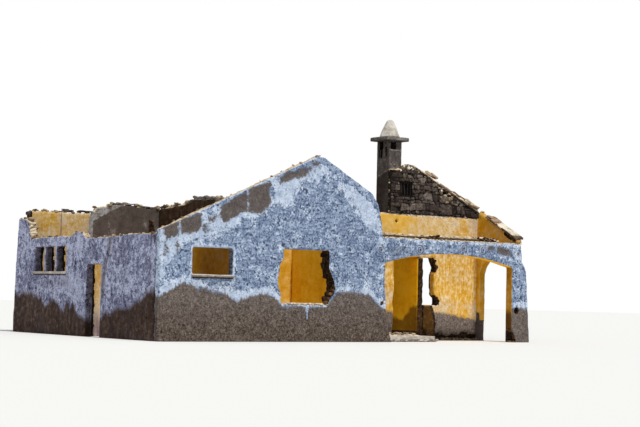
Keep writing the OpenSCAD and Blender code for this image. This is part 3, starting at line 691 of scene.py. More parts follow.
def porch_faces(s, u, v, z, n1):
    """Soffit and inner faces of the flat arch; the corner pier's inner face painted deeper and darker as
    shade, and the hollows and holes in its piers painted dark as shade.
    """
    porch = (u > 8.2) & (z < 3.0) & ((s.nv > 0.4) | (s.nz < -0.35) | (s.nu < -0.5)) & (v > 0.02)
    pier = porch & (u > 13.3) & (s.nu < -0.5)
    s.more("ochre", porch)
    s.put("sunlight_and_fade", pier, 0.35)
    s.put("shade_and_grime", pier, 0.75 + 0.25 * ramp01(z, 1.6, 2.2) + 0.25 * ramp01(1.0 - z, 0.0, 0.4))
    s.put("damp_and_shadow", pier, 0.9 * ramp01(0.9 - z, -0.2, 0.2))
    s.put("pale", within(u, 8.1, 8.6) & (v > 0.02) & (s.nu > 0.3), 0.62 + 0.3 * n1)
    s.more("hollow", np.hypot(u - 8.02, z - 1.08) < 0.06)
    s.more("hollow", within(u, 13.45, 13.85) & (z < 0.36) & within(v, 0.02, 0.3))
    s.more("hollow", (np.hypot(u - 13.775, z - 0.93) < 0.115) & (np.abs(s.nv) < 0.75))


def paint_front(s, u, v, z):
    """The gabled front with the arched wall and its corner pier."""
    n1, n2 = s.noise(0.9, 31), s.noise(3.4, 32)
    face = s.nv < -0.5
    for outline, amount in LOST:
        s.more("bare", amount * area(u, z, outline, 0.19, 0.03 + 0.09 * n2) * face)
    top = along(u, PLINTH_TOP) + 0.07 * n2
    drip = area(u, z, [(5.11, 0.95), (5.21, 0.95), (5.18, 0.55), (5.15, 0.55)], 0.03)
    s.more("plinth", ramp01(top - z, -0.28, 0.28) * (u < 8.7) * (v < 0.22) * (1 - ramp01(drip, 0.3, 0.6)))
    s.more("plinth", (u > 13.4) * ramp01(0.98 + 0.08 * n2 - z, -0.2, 0.2) * face)
    s.more("low", ramp01(0.75 - z, -0.35, 0.6) * (u < 13.3))
    s.put("white", s.nv < -0.2, np.clip(front_wash(s, u, z, n1, n2, top, drip), 0, 1))
    s.put("white", (s.nu < -0.2) & (u < 0.3), 0.62)
    front_edges(s, u, z, face)
    front_shade(s, u, z, n2, face)
    porch_faces(s, u, v, z, n1)
    s.put("white", s.masks["ochre"] > 0, 0.0)


# top of the damp on the wing, by v
DAMP_TOP = [(0.04, 1.32), (0.64, 1.26), (1.02, 1.03), (1.47, 0.88), (2.17, 0.78), (2.99, 0.64), (3.41, 0.52),
            (4.41, 0.43), (4.94, 0.69), (5.1, 0.95), (5.3, 0.7), (5.48, 0.96), (5.7, 0.6), (5.93, 0.74),
            (6.29, 1.01), (6.76, 0.85), (7.0, 0.8), (7.26, 1.12), (7.61, 1.06), (8.12, 1.21), (8.77, 1.17),
            (9.14, 1.23)]
# damp patches on the wing, as outlines in v and z, with their strength, softness and raggedness
WING_DAMP = [
    ([(0.44, 2.9), (0.15, 2.95), (0.2, 2.62), (0.36, 2.58)], 0.66, 0.06, 0.0),
    ([(7.9, 1.7), (5.4, 1.75), (5.2, 1.3), (7.9, 1.2)], 0.44, 0.25, 0.2),
    ([(2.4, 2.5), (1.2, 2.7), (1.2, 2.45), (2.2, 2.3)], 0.42, 0.2, 0.2),
]


def paint_wing(s, u, v, z):
    """The long wall of the wing."""
    n1, n2 = s.noise(1.1, 41), s.noise(2.0, 43, stretch=(1.0, 3.0, 0.8))
    face = s.nu < -0.5
    top = along(v, DAMP_TOP) + 0.12 * n2 + 0.10 * s.noise(4.5, 45, 2, (0.2, 1, 0.2))
    s.more("damp_and_shadow", ramp01(top - z, -0.24, 0.30))
    for outline, amount, soft, ragged in WING_DAMP:
        s.more("damp_and_shadow", amount * area(v, z, outline, soft, ragged * n1) * face)
    bright = 1 - ramp01(np.hypot((v - 1.7) / 1.3, (z - 2.0) / 0.8), 0.4, 1.6)
    white = 0.34 + 0.45 * n1 + 0.2 * bright + 0.2 * bump_at(v, 4.75, 0.3)
    white += 0.15 * bump_at(v, 3.0, 0.2) + 0.2 * bump_at(z, 1.3, 0.4)
    s.put("white", face, np.clip(white, 0, 0.8))
    # reveals of the lights and the door, painted darker as shade, darkest towards the inner side of the
    # lights
    deep = (s.nv < -0.5) & (z < 2.66) & within(v, 3.0, 8.0)
    s.put("white", deep, -0.1)
    s.put("shade_and_grime", deep, np.where(v < 4.5, 0.95, 0.6 + 0.8 * ramp01(u, 0.0, 0.2)))
    # the broad streak beside the door, and the dull patch under the lights
    line = along(z, [(1.08, 3.27), (1.73, 3.21), (2.12, 3.09), (2.47, 2.93), (2.88, 2.83)])
    streak = 0.95 * bump_at(v, line + 0.05 * n1, 0.12) * ramp01(z, 0.9, 1.2) * (1 + 0.6 * n1)
    dull = 0.2 * area(v, z, [(7.9, 1.75), (5.4, 1.75), (5.2, 1.2), (7.9, 1.1)], 0.3)
    s.more("shade_and_grime", np.maximum(streak, dull) * face)
    # painted shade: the lights' reveals darkened further
    s.put("damp_and_shadow", deep & (v > 4.5), 0.3)
    # painted shadow under the sill of the lights
    s.more("damp_and_shadow", 0.8 * within(z, 1.70, 1.765) * within(v, 5.6, 7.86) * face)
    s.more("core", s.top * (z > 2.7))
    gash = (s.nv < -0.3) & (v > 7.9) & (z > 2.8)
    s.more("core", gash)
    inside_ochre(s, (s.nu > 0.5) & (v < 8.85), 2.8)
    outside(s, (s.nv > 0.5) & (v > 8.9) | (s.nu > 0.5) & (v > 8.95), 121)
    s.relief = gash * 0.03 * s.noise(5.0, 47, 2, (0.3, 1, 4.0))


def paint_room(sunlight_and_fade):
    """Inner walls of the front room, ochre up to the old ceiling. The argument sets how pale the ochre is
    painted: paler on the sunlit rear wall, deeper on the shaded side wall, as painted light.
    """
    def paint(s, u, v, z):
        inside_ochre(s, True, 2.9)
        s.more("sunlight_and_fade", sunlight_and_fade)
        outside(s, ((s.nv > 0.5) & (v > 4.8)) | ((s.nu < -0.5) & (v > 4.9)), 101)
        s.more("core", s.top * (z > 2.5))
    return paint


def paint_end(s, u, v, z):
    """The wing's end wall, with its inner face in the sun and its ochre painted pale as sunlit, and the top
    of its broken left end painted dark as shade.
    """
    face = s.nv < -0.5
    n1 = s.noise(1.6, 63)
    inside_ochre(s, face, 9.0)
    # painted light: pale ochre, as for the sunlit face
    s.more("sunlight_and_fade", 1.0)
    s.put("white", face, 0.3)
    s.put("shade_and_grime", face, 0.22)
    worn = area(u, z, [(1.89, 3.84), (2.63, 3.85), (2.63, 3.25), (2.07, 3.28)], 0.25)
    s.put("pale", face, 0.52 + 0.35 * n1 + 0.2 * worn)
    s.more("core", s.top)
    # painted shade on the top of the broken left end
    s.put("hollow", (u < 0.36) & (z > 3.6), 0.9)
    s.put("damp_and_shadow", z > 2.8, np.maximum(0.22 + 0.2 * n1, 0.8 * bump_at(u, 1.41, 0.03)))
    outside(s, s.nv > 0.5, 107)


def paint_cross(s, u, v, z):
    """The wall across the wing: ochre below the old ceiling, painted pale as sunlit, a triangle of old wash
    above, and a hole painted dark as shade.
    """
    face, below = s.nv < -0.5, z < 2.85
    n2 = s.noise(2.6, 65)
    s.more("ochre", face & below)
    # painted light: pale ochre, as for the sunlit face
    s.more("sunlight_and_fade", 1.0)
    s.put("pale", face & below, 0.36 + 0.35 * ramp01(1.5 - z, 0, 0.8) + 0.2 * n2)
    s.put("damp_and_shadow", face, 0.3 * below + 0.3 * ramp01(0.9 - z, 0, 0.6))
    triangle = [(0.2, 3.36), (0.2, 3.9), (1.1, 4.1), (1.4, 3.95), (0.83, 3.66), (0.4, 3.45)]
    s.more("white", area(u, z, triangle, 0.04, 0.03 * n2) * (s.nv < 0.4))
    s.put("white", (s.nu < -0.3) & (z > 2.7), 1.0)
    # painted shade inside the hole
    hole = [(2.24, 3.54), (2.42, 3.44), (2.5, 3.06), (2.25, 3.04)]
    s.more("hollow", area(u, z, hole, 0.07, 0.03 * n2) * face)
    s.more("core", s.top * (z > 3))
    inside_ochre(s, s.nv > 0.5, 2.8)


def paint_partition(s, u, v, z):
    """The wall between the wing and the front room; its shaded left face is painted darker and deeper in
    ochre, and its ochre browner towards the front, as painted shade.
    """
    inside_ochre(s, True, 2.85)
    s.more("damp_and_shadow", 0.85 * ramp01(z, 2.8, 3.0))
    s.more("low", 0.7 * ramp01(3.0 - z, 0, 0.6) * ramp01(2.4 - v, 0.0, 0.5))
    s.put("shade_and_grime", (z < 2.85) & (s.nu < -0.5), 0.72)
    s.put("sunlight_and_fade", s.nu < -0.5, 0.25)
    outside(s, (s.nu > 0.5) & (v > 4.9), 104)
    s.more("core", s.top * (z > 2.8))


# pale patches on the porch's back wall, as outlines in u and z, with their strength
PALE_PATCHES = [
    ([(12.17, 3.89), (12.61, 4.03), (13.0, 3.98), (13.04, 3.67), (12.69, 3.55), (12.3, 3.68)], 0.7),
    ([(13.1, 4.0), (13.75, 4.06), (13.76, 3.4), (13.3, 3.5)], 0.95),
    ([(11.57, 3.65), (12.05, 3.62), (12.05, 3.38), (11.67, 3.39)], 0.56),
    ([(9.75, 3.8), (9.83, 3.8), (10.08, 3.36), (9.98, 3.3)], 0.52),
]
# top of the grey dado, of the upper wall's plaster and of the hollows along the foot, by u
DADO = [(8.0, 0.9), (11.3, 0.75), (11.5, 0.8), (11.9, 0.8), (12.4, 0.78), (12.9, 0.68), (13.3, 0.64),
        (13.7, 0.6)]
PLASTER_TOP = [(9.5, 3.99), (10.17, 4.0), (10.8, 3.97), (11.4, 3.97), (12.1, 3.95), (12.42, 4.03),
               (12.67, 3.98), (13.7, 4.03)]
CAVES = [(11.0, 0.34), (11.3, 0.3), (11.55, 0.05), (11.9, 0.08), (12.4, 0.04), (12.7, 0.06), (12.95, 0.14),
         (13.3, 0.16), (13.72, 0.1)]


def porch_pale(u, z, n1, n2):
    """How far the ochre of the porch's back wall has gone pale."""
    pale = 0.36 + 0.06 * (z > 2.9) + 0.2 * bump_at(z, 1.05, 0.2) + 0.3 * n1
    pale += 0.3 * ramp01(u, 13.1, 13.5) * ramp01(1.2 - z, 0.0, 0.4)
    for outline, amount in PALE_PATCHES:
        pale = np.maximum(pale, (amount + 0.1 * n2) * area(u, z, outline, 0.22, 0.1 * n2))
    strip = within(u, 8.1, 10.1) & (z < 2.7)
    return np.where(strip, 0.3 + 0.35 * n1 + 0.3 * bump_at(z, 1.2, 0.3), pale)


def soaked_foot(s, u, z, n2, face):
    """The wall under the broken gap, soaked brown up to a ragged line where the plaster begins."""
    line = along(z, [(0.1, 11.82), (0.39, 11.85), (0.7, 11.8), (1.08, 11.66)]) + 0.05 * n2
    soaked = (u < line) & (u > 11.2) & face & (z < 1.1)
    wet = soaked * ramp01(1.06 + 0.05 * n2 - z, -0.05, 0.05)
    for name in ("plinth", "pale", "sunlight_and_fade", "white"):
        s.put(name, soaked, 0.0)
    s.more("damp_and_shadow", wet)
    s.more("shade_and_grime", wet * (0.85 + 0.5 * s.noise(9.0, 58, 2)))
    s.put("pale", soaked, 0.62 * (1 - wet))
    s.more("hollow", 0.52 * wet)
    s.more("hollow", 0.9 * (within(u, 11.2, 11.36) & (z < 1.08) & ~face))
    s.more("hollow", (1 - ramp01(np.abs(u - line), 0.02, 0.06)) * (z < 1.08) * face)


def paint_porch(s, u, v, z):
    """The porch's back wall, its jamb wall and the upper wall under the rubble gable; its sunlit face takes a
    paler ochre as painted light, and a hole and the hollows at its foot are painted dark as shade.
    """
    n1, n2 = s.noise(1.0, 51), s.noise(3.2, 52)
    face = s.nv < -0.5
    s.more("ochre", face | (np.abs(s.nu) > 0.5) | (s.nz < -0.5))
    # painted light: pale ochre on the sunlit face, deep ochre on the others
    s.more("sunlight_and_fade", np.where(face, np.clip(0.95 + 0.4 * n1, 0, 1), 0.1))
    s.more("plinth", ramp01(along(u, DADO) + 0.1 * n2 - z, -0.3, 0.3))
    s.more("low", 0.7 * ramp01(0.3 - z, -0.2, 0.3) * (u > 11.85))
    s.put("white", True, np.where(z < 2.75, 1.0, -1.0 + ramp01(u, 11.0, 12.2)))
    corner = [(13.35, 4.05), (13.74, 4.05), (13.74, 3.5), (13.5, 3.6)]
    s.more("shade_and_grime", 0.3 * area(u, z, corner, 0.12, 0.12 * n2) * face)
    s.put("pale", face, np.clip(porch_pale(u, z, n1, n2), 0, 1))
    edge = along(u, PLASTER_TOP) + 0.03 * n2
    s.more("core", np.maximum(s.top * (z > 2.9), 0.9 * ramp01(z - edge, -0.02, 0.02) * face))
    # the broken gap keeps a length of its plaster lining
    gap = within(u, 11.25, 12.02) & within(z, 0.9, 2.72) & (s.nu < -0.2)
    lining = gap & within(z, 1.36, 2.16) & (v < 2.1)
    s.more("hollow", gap & ~lining)
    s.put("sunlight_and_fade", lining, 0.6)
    s.put("shade_and_grime", lining, 0.35)
    soaked_foot(s, u, z, n2, face)
    # painted shade inside a small hole
    hole = (np.hypot(u - 10.11, z - 3.78) < 0.05) * face
    s.more("hollow", 0.9 * hole)
    # painted shade inside the hollows along the foot
    cave = along(u, CAVES) + 0.16 * s.noise(4.0, 57) - z
    s.more("hollow", ramp01(cave, -0.1, 0.1) * (u > 11.0))
    s.relief = -0.07 * ramp01(cave, -0.06, 0.06) * (u > 11.0) * face - 0.05 * hole


def paint_inner_side(s, u, v, z):
    """The side wall of the recess, stained from its foot, with a broken end at the gap; its shaded face is
    painted a deeper ochre, as shade.
    """
    n2 = s.noise(2.6, 61)
    shade = s.nu < -0.5
    s.more("ochre", z < 2.9)
    # painted light: deep ochre on the shaded face, paler on the others
    s.put("sunlight_and_fade", ~shade, 0.5)
    base = along(v, [(1.9, 1.11), (2.29, 0.93), (2.65, 0.53), (3.12, 0.58)])
    base += 0.16 * s.noise(3.5, 62) + 0.10 * s.noise(11.0, 66, 2)
    s.more("damp_and_shadow", 0.95 * ramp01(base - z, -0.2, 0.2))
    s.more("hollow", ramp01(0.17 + 0.02 * n2 - z, -0.02, 0.02) * shade)
    end = (s.nv < -0.4) & (v < 2.1)
    s.more("hollow", np.where(end, np.where(z > 0.98, 1.0, 0.57), 0.44 * ramp01(base - z, 0.0, 0.4) * shade))
    s.more("shade_and_grime", 0.25 * bump_at(z, 1.6, 0.3) * bump_at(v, 3.3, 0.3))
    s.put("shade_and_grime", end & (z <= 0.98), 0.85 + 0.5 * s.noise(9.0, 68, 2))
    s.more("core", s.top * (z > 2.9))
    s.relief = end * 0.03 * s.noise(7.0, 67, 2)


def paint_side(s, u, v, z):
    """The right block's side: the arch's wall and pier, and the outer side wall. Its inner faces, the arch's
    jamb and the pier are painted darker as shade, and the jamb's ochre deeper towards the arch's head.
    """
    n1 = s.noise(1.0, 71)
    outer = (s.nu > 0.5) | ((s.nv > 0.5) & (v > 5.2))
    jamb = (s.nv < -0.5) & (v > 1.5) & (z < 2.75)
    pier = ~outer & (v < 0.75) & (z < 2.6)
    s.more("ochre", ~outer)
    s.more("sunlight_and_fade", np.where(jamb, 0.5 * ramp01(2.6 - z, 0.0, 0.8), 0.25 + 0.3 * np.clip(n1, 0, 1)))
    s.more("bare", ramp01(np.where(jamb, 0.6, 0.85) + 0.14 * s.noise(1.5, 73) - z, -0.06, 0.06))
    s.put("pale", ~outer & (z > 3.0) & (v < 1.9), 0.46 + 0.3 * n1)
    s.put("shade_and_grime", ~outer & (v < 1.9), np.where(z > 3.0, 0.66 + 0.4 * n1, 0.34))
    s.put("shade_and_grime", jamb, 0.82 - 0.2 * ramp01(2.2 - z, 0.0, 1.0))
    s.put("shade_and_grime", pier, 0.7 + 0.3 * ramp01(z, 1.7, 2.3))
    s.put("bare", pier, 0.0)
    s.put("damp_and_shadow", pier, 0.9 * ramp01(0.85 + 0.2 * n1 - z, -0.25, 0.25))
    outside(s, outer, 111)
    s.more("core", s.top * (z > 2.8) * (v > 1.9))


def paint_outer(s, u, v, z):
    """The rear wall of the right block."""
    outer = s.nv > 0.5
    inside_ochre(s, ~outer, 2.9)
    outside(s, outer | ((s.nu < -0.5) & (u < 8.2)), 114)
    s.more("core", s.top * (z > 2.5))


# soot on the left side of the stack, as outlines in v and z, with its strength
SOOT = [([(2.54, 6.44), (2.3, 6.43), (2.36, 5.9), (2.52, 5.88)], 1.0),
        ([(2.22, 6.25), (2.08, 6.25), (2.07, 5.88), (2.2, 5.89)], 0.6)]


def paint_stack(s, u, v, z):
    """The chimney: dark below the old roof's line on the left, with runs of soot, darkest on the left beside
    the gable, painted shade near its top, and painted black shade in the flue and under its overhangs.
    """
    left = s.nu < -0.5
    n2 = s.noise(3.0, 91, 2)
    line = 5.47 - 0.40 * (v - 1.97) + 0.03 * n2
    runs = np.clip(2.4 * s.noise(1.0, 94, stretch=(1.0, 6.0, 0.7)) - 0.1, 0, 0.5)
    # left face: darker below the old roof's line and in runs of soot; other faces: painted shade in a band
    # near the top
    s.more("shade_and_grime", np.where(left, 0.05 + runs + 0.65 * ramp01(line - z, -0.03, 0.03),
                           0.35 * ramp01(z, 6.12, 6.15)))
    s.more("white", np.where(left, 0.14 + 0.6 * bump_at(z - line, 0.02, 0.03),
                             0.5 + 0.6 * bump_at(z, 6.125, 0.015)))
    s.put("shade_and_grime", left & (v < 2.03 + 0.03 * n2) & (z < 5.45), 1.0)
    # painted shade: near-black in the flue and under the overhangs, blacker above 5.5 m
    s.more("low", z > 5.5)
    flue = (np.abs(u - STACK_MIDDLE[0]) < 0.24) & (np.abs(v - STACK_MIDDLE[1]) < 0.285) & (z > 5.4)
    s.more("hollow", flue | ((s.nz < -0.3) & (z > 5)))
    for outline, amount in SOOT:
        s.more("hollow", amount * area(v, z, outline, 0.03) * left)


def paint_tone(low, high, seed):
    """Plain stone or render, with its tone between these two."""
    def paint(s, u, v, z):
        s.more("tone", np.clip(0.5 * (low + high) + (high - low) * s.noise(3.0, seed), 0, 1))
    return paint


def paint_slab(s, u, v, z):
    """The slab on the chimney, painted darker below and on its left as shade, and chipped."""
    s.more("tone", np.clip(0.45 + 0.3 * s.noise(3.0, 93) - 0.5 * (s.nz < -0.5) - 0.15 * (s.nu < -0.5), 0, 1))
    s.relief = -0.03 * ramp01(s.noise(2.4, 95, 2), 0.1, 0.6)


def paint_gable_verge(s, u, v, z):
    """Painted shadow at the foot, and pale on top."""
    n2 = s.noise(5.0, 98, 2)
    s.more("tone", np.clip(0.05 + 0.85 * ramp01(z - slope_at(u) + 0.012 * n2, 0.025, 0.05) + 0.25 * n2, 0, 1))


def paint_shed_verge(s, u, v, z):
    """Painted shade on the sides, dark tile ends and painted shade at the front end, pale on top."""
    n2 = s.noise(5.0, 98, 2)
    tone = np.where(np.abs(s.nu) > 0.5, np.clip(0.04 + 0.5 * n2, 0, 0.4), 0.8 + 0.4 * n2)
    s.more("tone", tone * ramp01(v + 0.05 * n2, 0.06, 0.16))


def paint_sill(s, u, v, z):
    """The front window's sill, with painted shadow on its lower front and pale on top."""
    s.more("tone", np.clip(0.12 + 0.8 * ramp01(z - 1.775 + 0.012 * s.noise(6.0, 19, 2), -0.008, 0.008), 0, 1))
    s.relief = -0.012 * ramp01(s.noise(7.0, 25, 2), 0.0, 0.5)


def paint_floor(s, u, v, z):
    """The porch floor, broken away along its front and its right end, its top painted lighter as sunlit and
    its lower front painted dark as shadow.
    """
    n2 = s.noise(3.0, 26)
    inwards = np.minimum(v - 0.25, 10.46 - u)
    dark = 0.9 * ramp01(-z - 0.03 + 0.03 * n2, 0.0, 0.03)
    s.more("tone", np.clip(0.55 + 0.5 * n2 + 0.3 * (s.nz > 0.5) - dark, 0, 1))
    s.relief = -ramp01(0.45 - inwards, 0.0, 0.45) * (0.05 + 0.10 * ramp01(n2, -0.4, 0.3)) * (s.nz > 0.5)


def paint_ledge(s, u, v, z):
    """The ledge on the arched wall, with painted shadow below and pale on top."""
    s.more("tone", np.clip(0.1 + 0.85 * ramp01(z, 3.222, 3.24) + 0.35 * s.noise(3.0, 97), 0, 1))
    s.relief = -0.05 * ramp01(s.noise(4.0, 99, 2, (1.0, 1.0, 2.0)), 0.0, 0.5)


# name, CAD nodes, material, slot, paint, size of the quads, wear of the edges, seed
wall("front_plaster", ["front_wall", "arch_wall", "corner_pier"], GABLE, "limewash", paint_front, 0.042,
     0.03, 3)
wall("wing_plaster", ["wing_wall_front", "wing_door_lintel", "wing_wall_rear", "wing_window_post_front",
                      "wing_window_post_rear"], WING, "wing_render", paint_wing, 0.04, 0.03, 4)
wall("wing_end_plaster", ["wing_end_wall"], LITWALL, "ochre_plaster", paint_end, 0.045, 0.035, 5)
wall("wing_cross_plaster", ["wing_cross_wall"], LITWALL, "bare_render", paint_cross, 0.045, 0.035, 6)
wall("wing_partition_plaster", ["wing_partition"], INNER, "bare_render", paint_partition, 0.06, 0.04, 7)
wall("room_rear_plaster", ["room_rear_wall"], INNER, "ochre_plaster", paint_room(0.5), 0.06, 0.035, 8)
wall("room_side_plaster", ["room_side_wall"], INNER, "ochre_plaster", paint_room(0.1), 0.06, 0.035, 9)
wall("porch_back_plaster", ["porch_back_wall", "porch_upper_wall", "porch_jamb_wall"], LITWALL,
     "ochre_plaster", paint_porch, 0.04, 0.025, 10)
wall("inner_side_plaster", ["recess_side_wall"], INNER, "ochre_plaster", paint_inner_side, 0.042, 0.03, 11)
wall("side_plaster", ["side_arch_wall", "side_pier", "side_wall"], OUTER, "ochre_plaster", paint_side, 0.05,
     0.03, 13)
wall("block_rear_plaster", ["block_rear_wall"], OUTER, "outer_render", paint_outer, 0.06, 0.035, 14)
wall("chimney_plaster", ["chimney_shaft"], STACK, "chimney_render", paint_stack, 0.022, 0.004, 15)
wall("chimney_slab_stone", ["chimney_slab"], SLAB, "concrete", paint_slab, 0.022, 0.03, 16)
wall("chimney_cone_render", ["chimney_cone"], CONE, "lime_mortar", paint_tone(0.25, 0.75, 17), 0.022, 0.015,
     17, 2.0)
wall("arch_ledge_stone", ["arch_ledge"], LOOSE, "concrete", paint_ledge, 0.024, 0.03, 18)
wall("front_sill_stone", ["front_window_sill"], CONCRETE, "concrete", paint_sill, 0.014, 0.012, 19)
wall("wing_sill_stone", ["wing_window_sill"], CONCRETE, "concrete", paint_tone(0.2, 0.8, 20), 0.018,
     0.012, 20)
wall("porch_floor_slab", ["porch_floor"], CONCRETE, "concrete", paint_floor, 0.04, 0.06, 21, 2.0)
for end, seed in (("upper", 22), ("lower", 23)):
    wall(f"gable_verge_{end}_band", [f"gable_verge_{end}"], MORTAR, "lime_mortar", paint_gable_verge, 0.02,
         0.02, seed, 2.0)
wall("shed_verge_band", ["shed_verge"], MORTAR, "lime_mortar", paint_shed_verge, 0.02, 0.02, 24, 2.0)


# rubble gable
def clipped(outline, nx, nz, d):
    """The part of a convex outline where nx * u + nz * z <= d."""
    out = []
    for p, q in zip(outline, outline[1:] + outline[:1]):
        a, b = nx * p[0] + nz * p[1] - d, nx * q[0] + nz * q[1] - d
        if a <= 0:
            out.append(p)
        if a * b < 0:
            k = a / (a - b)
            out.append((p[0] + k * (q[0] - p[0]), p[1] + k * (q[1] - p[1])))
    return out


def middle(points):
    """The mean of some points, as u and z."""
    return [sum(p[k] for p in points) / len(points) for k in (0, 1)]


def coursed_cells(rng):
    """Outlines of roughly coursed stones over the whole of the gable and a little past it."""
    lines, z = [], 4.0
    while z < 5.9:
        lines.append((z, rng.uniform(0.015, 0.045), rng.uniform(1.5, 3.5), rng.uniform(0, 6),
                      rng.uniform(0.008, 0.024)))
        z += rng.choice((0.10, 0.14, 0.18, 0.22, 0.27, 0.30))

    def height(k, u):
        z, a, f, ph, b = lines[k]
        return z + a * math.sin(f * u + ph) + b * math.sin(4.3 * f * u + 2 * ph)

    cells = []
    for k in range(len(lines) - 1):
        h = lines[k + 1][0] - lines[k][0]
        u = 9.7 + rng.uniform(-0.1, 0.1)
        joint = (u, u)
        while u < 13.9:
            w = h * rng.choice((0.6, 0.8, 1.1, 1.5, 2.0)) + rng.uniform(-0.02, 0.04)
            nxt = (u + w + rng.uniform(-0.06, 0.06), u + w + rng.uniform(-0.06, 0.06))
            low = [(a, height(k, a) + rng.uniform(-0.008, 0.008)) for a in np.linspace(joint[0], nxt[0], 3)]
            top = [(a, height(k + 1, a)) for a in np.linspace(nxt[1], joint[1], 3)]
            cut = rng.random()
            if cut < 0.22 and h > 0.17:
                m = rng.uniform(0.35, 0.65)
                mid = [(p[0] * (1 - m) + q[0] * m, p[1] * (1 - m) + q[1] * m + rng.uniform(-0.012, 0.012))
                       for p, q in zip(low, top[::-1])]
                cells += [low + mid[::-1], mid + top]
            elif cut < 0.4 and h > 0.12:
                if rng.choice((0, 1)):
                    cells += [low + top[1:], low[2:] + top[:2]]
                else:
                    cells += [low + top[:2], low[:1] + top[1:]]
            else:
                cells.append(low + top)
            joint, u = nxt, u + w
    return cells


def stone_cells(rng):
    """The stones clipped to the gable's edges, its window and its bite."""
    left, right, bottom, top = ATTIC_WINDOW
    out = []
    for cell in coursed_cells(rng):
        u, z = middle(cell)
        limits = [(0, -1, -GABLE_FOOT), (-1, 0, -GABLE_LEFT), (1, 0, GABLE_RIGHT),
                  (FALL, 1, slope_at(0) - 0.015)]
        if u < SHOULDER_END:
            limits.append((0, 1, 5.60 if u > 10.3 else 5.44))
        if 10.12 < u < 10.81 and 4.5 < z < 5.2:
            side = max(((left - u, (1, 0, left)), (u - right, (-1, 0, -right)), (bottom - z, (0, 1, bottom)),
                        (z - top, (0, -1, -top))), key=lambda q: q[0])
            if side[0] < -0.04:
                continue
            limits.append(side[1])
        elif u <= 10.2 and abs(z - 4.85) < 0.3:
            limits.append((1, 0, left))
        elif u >= 10.73 and abs(z - 4.85) < 0.3:
            limits.append((-1, 0, -right))
        if BITE[0] - 0.02 < u < BITE[1] + 0.02 and z > slope_at(BITE[1]) - 0.22:
            continue
        for nx, nz, d in limits:
            cell = clipped(cell, nx, nz, d) if cell else cell
        if len(cell) >= 3:
            out.append(cell)
    return out


def cell_stone(cell, rng, face, out):
    """An uneven stone over a cell: face is the wall plane, out the sign of its outward side along v."""
    pts = []
    for p, q in zip(cell, cell[1:] + cell[:1]):
        n = max(1, int(math.hypot(q[0] - p[0], q[1] - p[1]) / 0.04))
        pts += [(p[0] + (q[0] - p[0]) * k / n, p[1] + (q[1] - p[1]) * k / n) for k in range(n)]
    pts = [((a[0] + 2 * b[0] + c[0]) / 4, (a[1] + 2 * b[1] + c[1]) / 4)
           for a, b, c in zip(pts[-1:] + pts[:-1], pts, pts[1:] + pts[:1])]
    cu, cz = middle(pts)
    size = sum(math.hypot(p[0] - cu, p[1] - cz) for p in pts) / len(pts)
    if size < 0.03:
        return None
    relief = rng.choice((0.004, 0.012, 0.018, 0.03, 0.045))
    tilt = (rng.uniform(-0.16, 0.16), rng.uniform(-0.22, 0.10))
    gap = rng.choice((0.0, 0.003, 0.006, 0.012))
    wob = [rng.uniform(0, 6.3) for _ in range(4)]
    verts, faces = [], []
    rings = ((gap, -0.05), (gap, relief * 0.3), (gap + 0.006, relief * 0.8), (gap + 0.018, relief))
    for inset, depth in rings:
        k = max(0.2, 1 - inset / size)
        for i, (a, b) in enumerate(pts):
            ang = 2 * math.pi * i / len(pts)
            r = k * (1 + 0.05 * math.sin(3 * ang + wob[0]) + 0.04 * math.sin(8 * ang + wob[1]))
            p, q = cu + (a - cu) * r, cz + (b - cz) * r
            uneven = 0.008 * math.sin(31 * p + wob[2]) * math.sin(27 * q + wob[3])
            uneven += tilt[0] * (p - cu) + tilt[1] * (q - cz)
            verts.append((p, face + out * max(depth + uneven * (depth > 0), -0.05), q))
    verts.append((cu, face + out * (relief + rng.uniform(-0.006, 0.012)), cz))
    n = len(pts)
    for ring in range(3):
        for i in range(n):
            a, b = ring * n + i, ring * n + (i + 1) % n
            faces.append([a, b, b + n, a + n])
    faces += [[3 * n + i, 3 * n + (i + 1) % n, 4 * n] for i in range(n)]
    faces.append(list(range(n))[::-1])
    return verts, [f[::-1] for f in faces] if out > 0 else faces


# places in the gable with pale stones, as left, right, bottom and top
PALE_PLACES = ((10.94, 11.31, 5.12, 5.36), (11.14, 11.55, 4.5, 4.72), (12.66, 13.02, 4.37, 4.57))
rng = random.Random(21)
stones = []
for cell in stone_cells(rng):
    cu, cz = middle(cell)
    tone = rng.choice((0.15, 0.3, 0.4, 0.45, 0.5, 0.65, 0.8)) + 0.16 * bump_at(cu, 11.4, 0.7) - 0.08
    for a, b, c, d in PALE_PLACES:
        if a < cu < b and c < cz < d:
            tone = 0.95
    for face, out in ((GABLE_FRONT, -1), (GABLE_BACK, 1)):
        made = cell_stone(cell, rng, face, out)
        if made:
            stones.append((made, min(1, max(0, tone + rng.uniform(-0.08, 0.08)))))
join_stones("gable_stones", stones, RUBBLE, "rubble_stone")

# loose stones in the bite of the gable: u, z, width, height and tone
BITE_STONES = [
    (12.08, 4.56, 0.28, 0.15, 0.3), (12.36, 4.63, 0.26, 0.15, 0.45), (12.2, 4.73, 0.13, 0.09, 0.7),
    (11.98, 4.83, 0.12, 0.18, 0.2), (12.36, 4.8, 0.18, 0.08, 0.85), (11.92, 4.98, 0.16, 0.07, 0.7),
    (12.55, 4.5, 0.22, 0.12, 0.3), (12.06, 4.97, 0.12, 0.06, 0.8), (12.24, 4.52, 0.16, 0.1, 0.75),
    (12.0, 4.68, 0.1, 0.08, 0.5), (12.5, 4.72, 0.12, 0.07, 0.6),
]
# the broken crown, from the chimney's shoulder on, in u and z
SHOULDER = [(9.8, 5.44), (10.15, 5.45), (10.3, 5.56), (10.5, 5.59), (10.75, 5.57), (10.9, 5.52)]
CROWN = [(10.2, 5.5), (10.3, 5.57), (10.5, 5.63), (10.75, 5.62), (11.0, 5.50)]

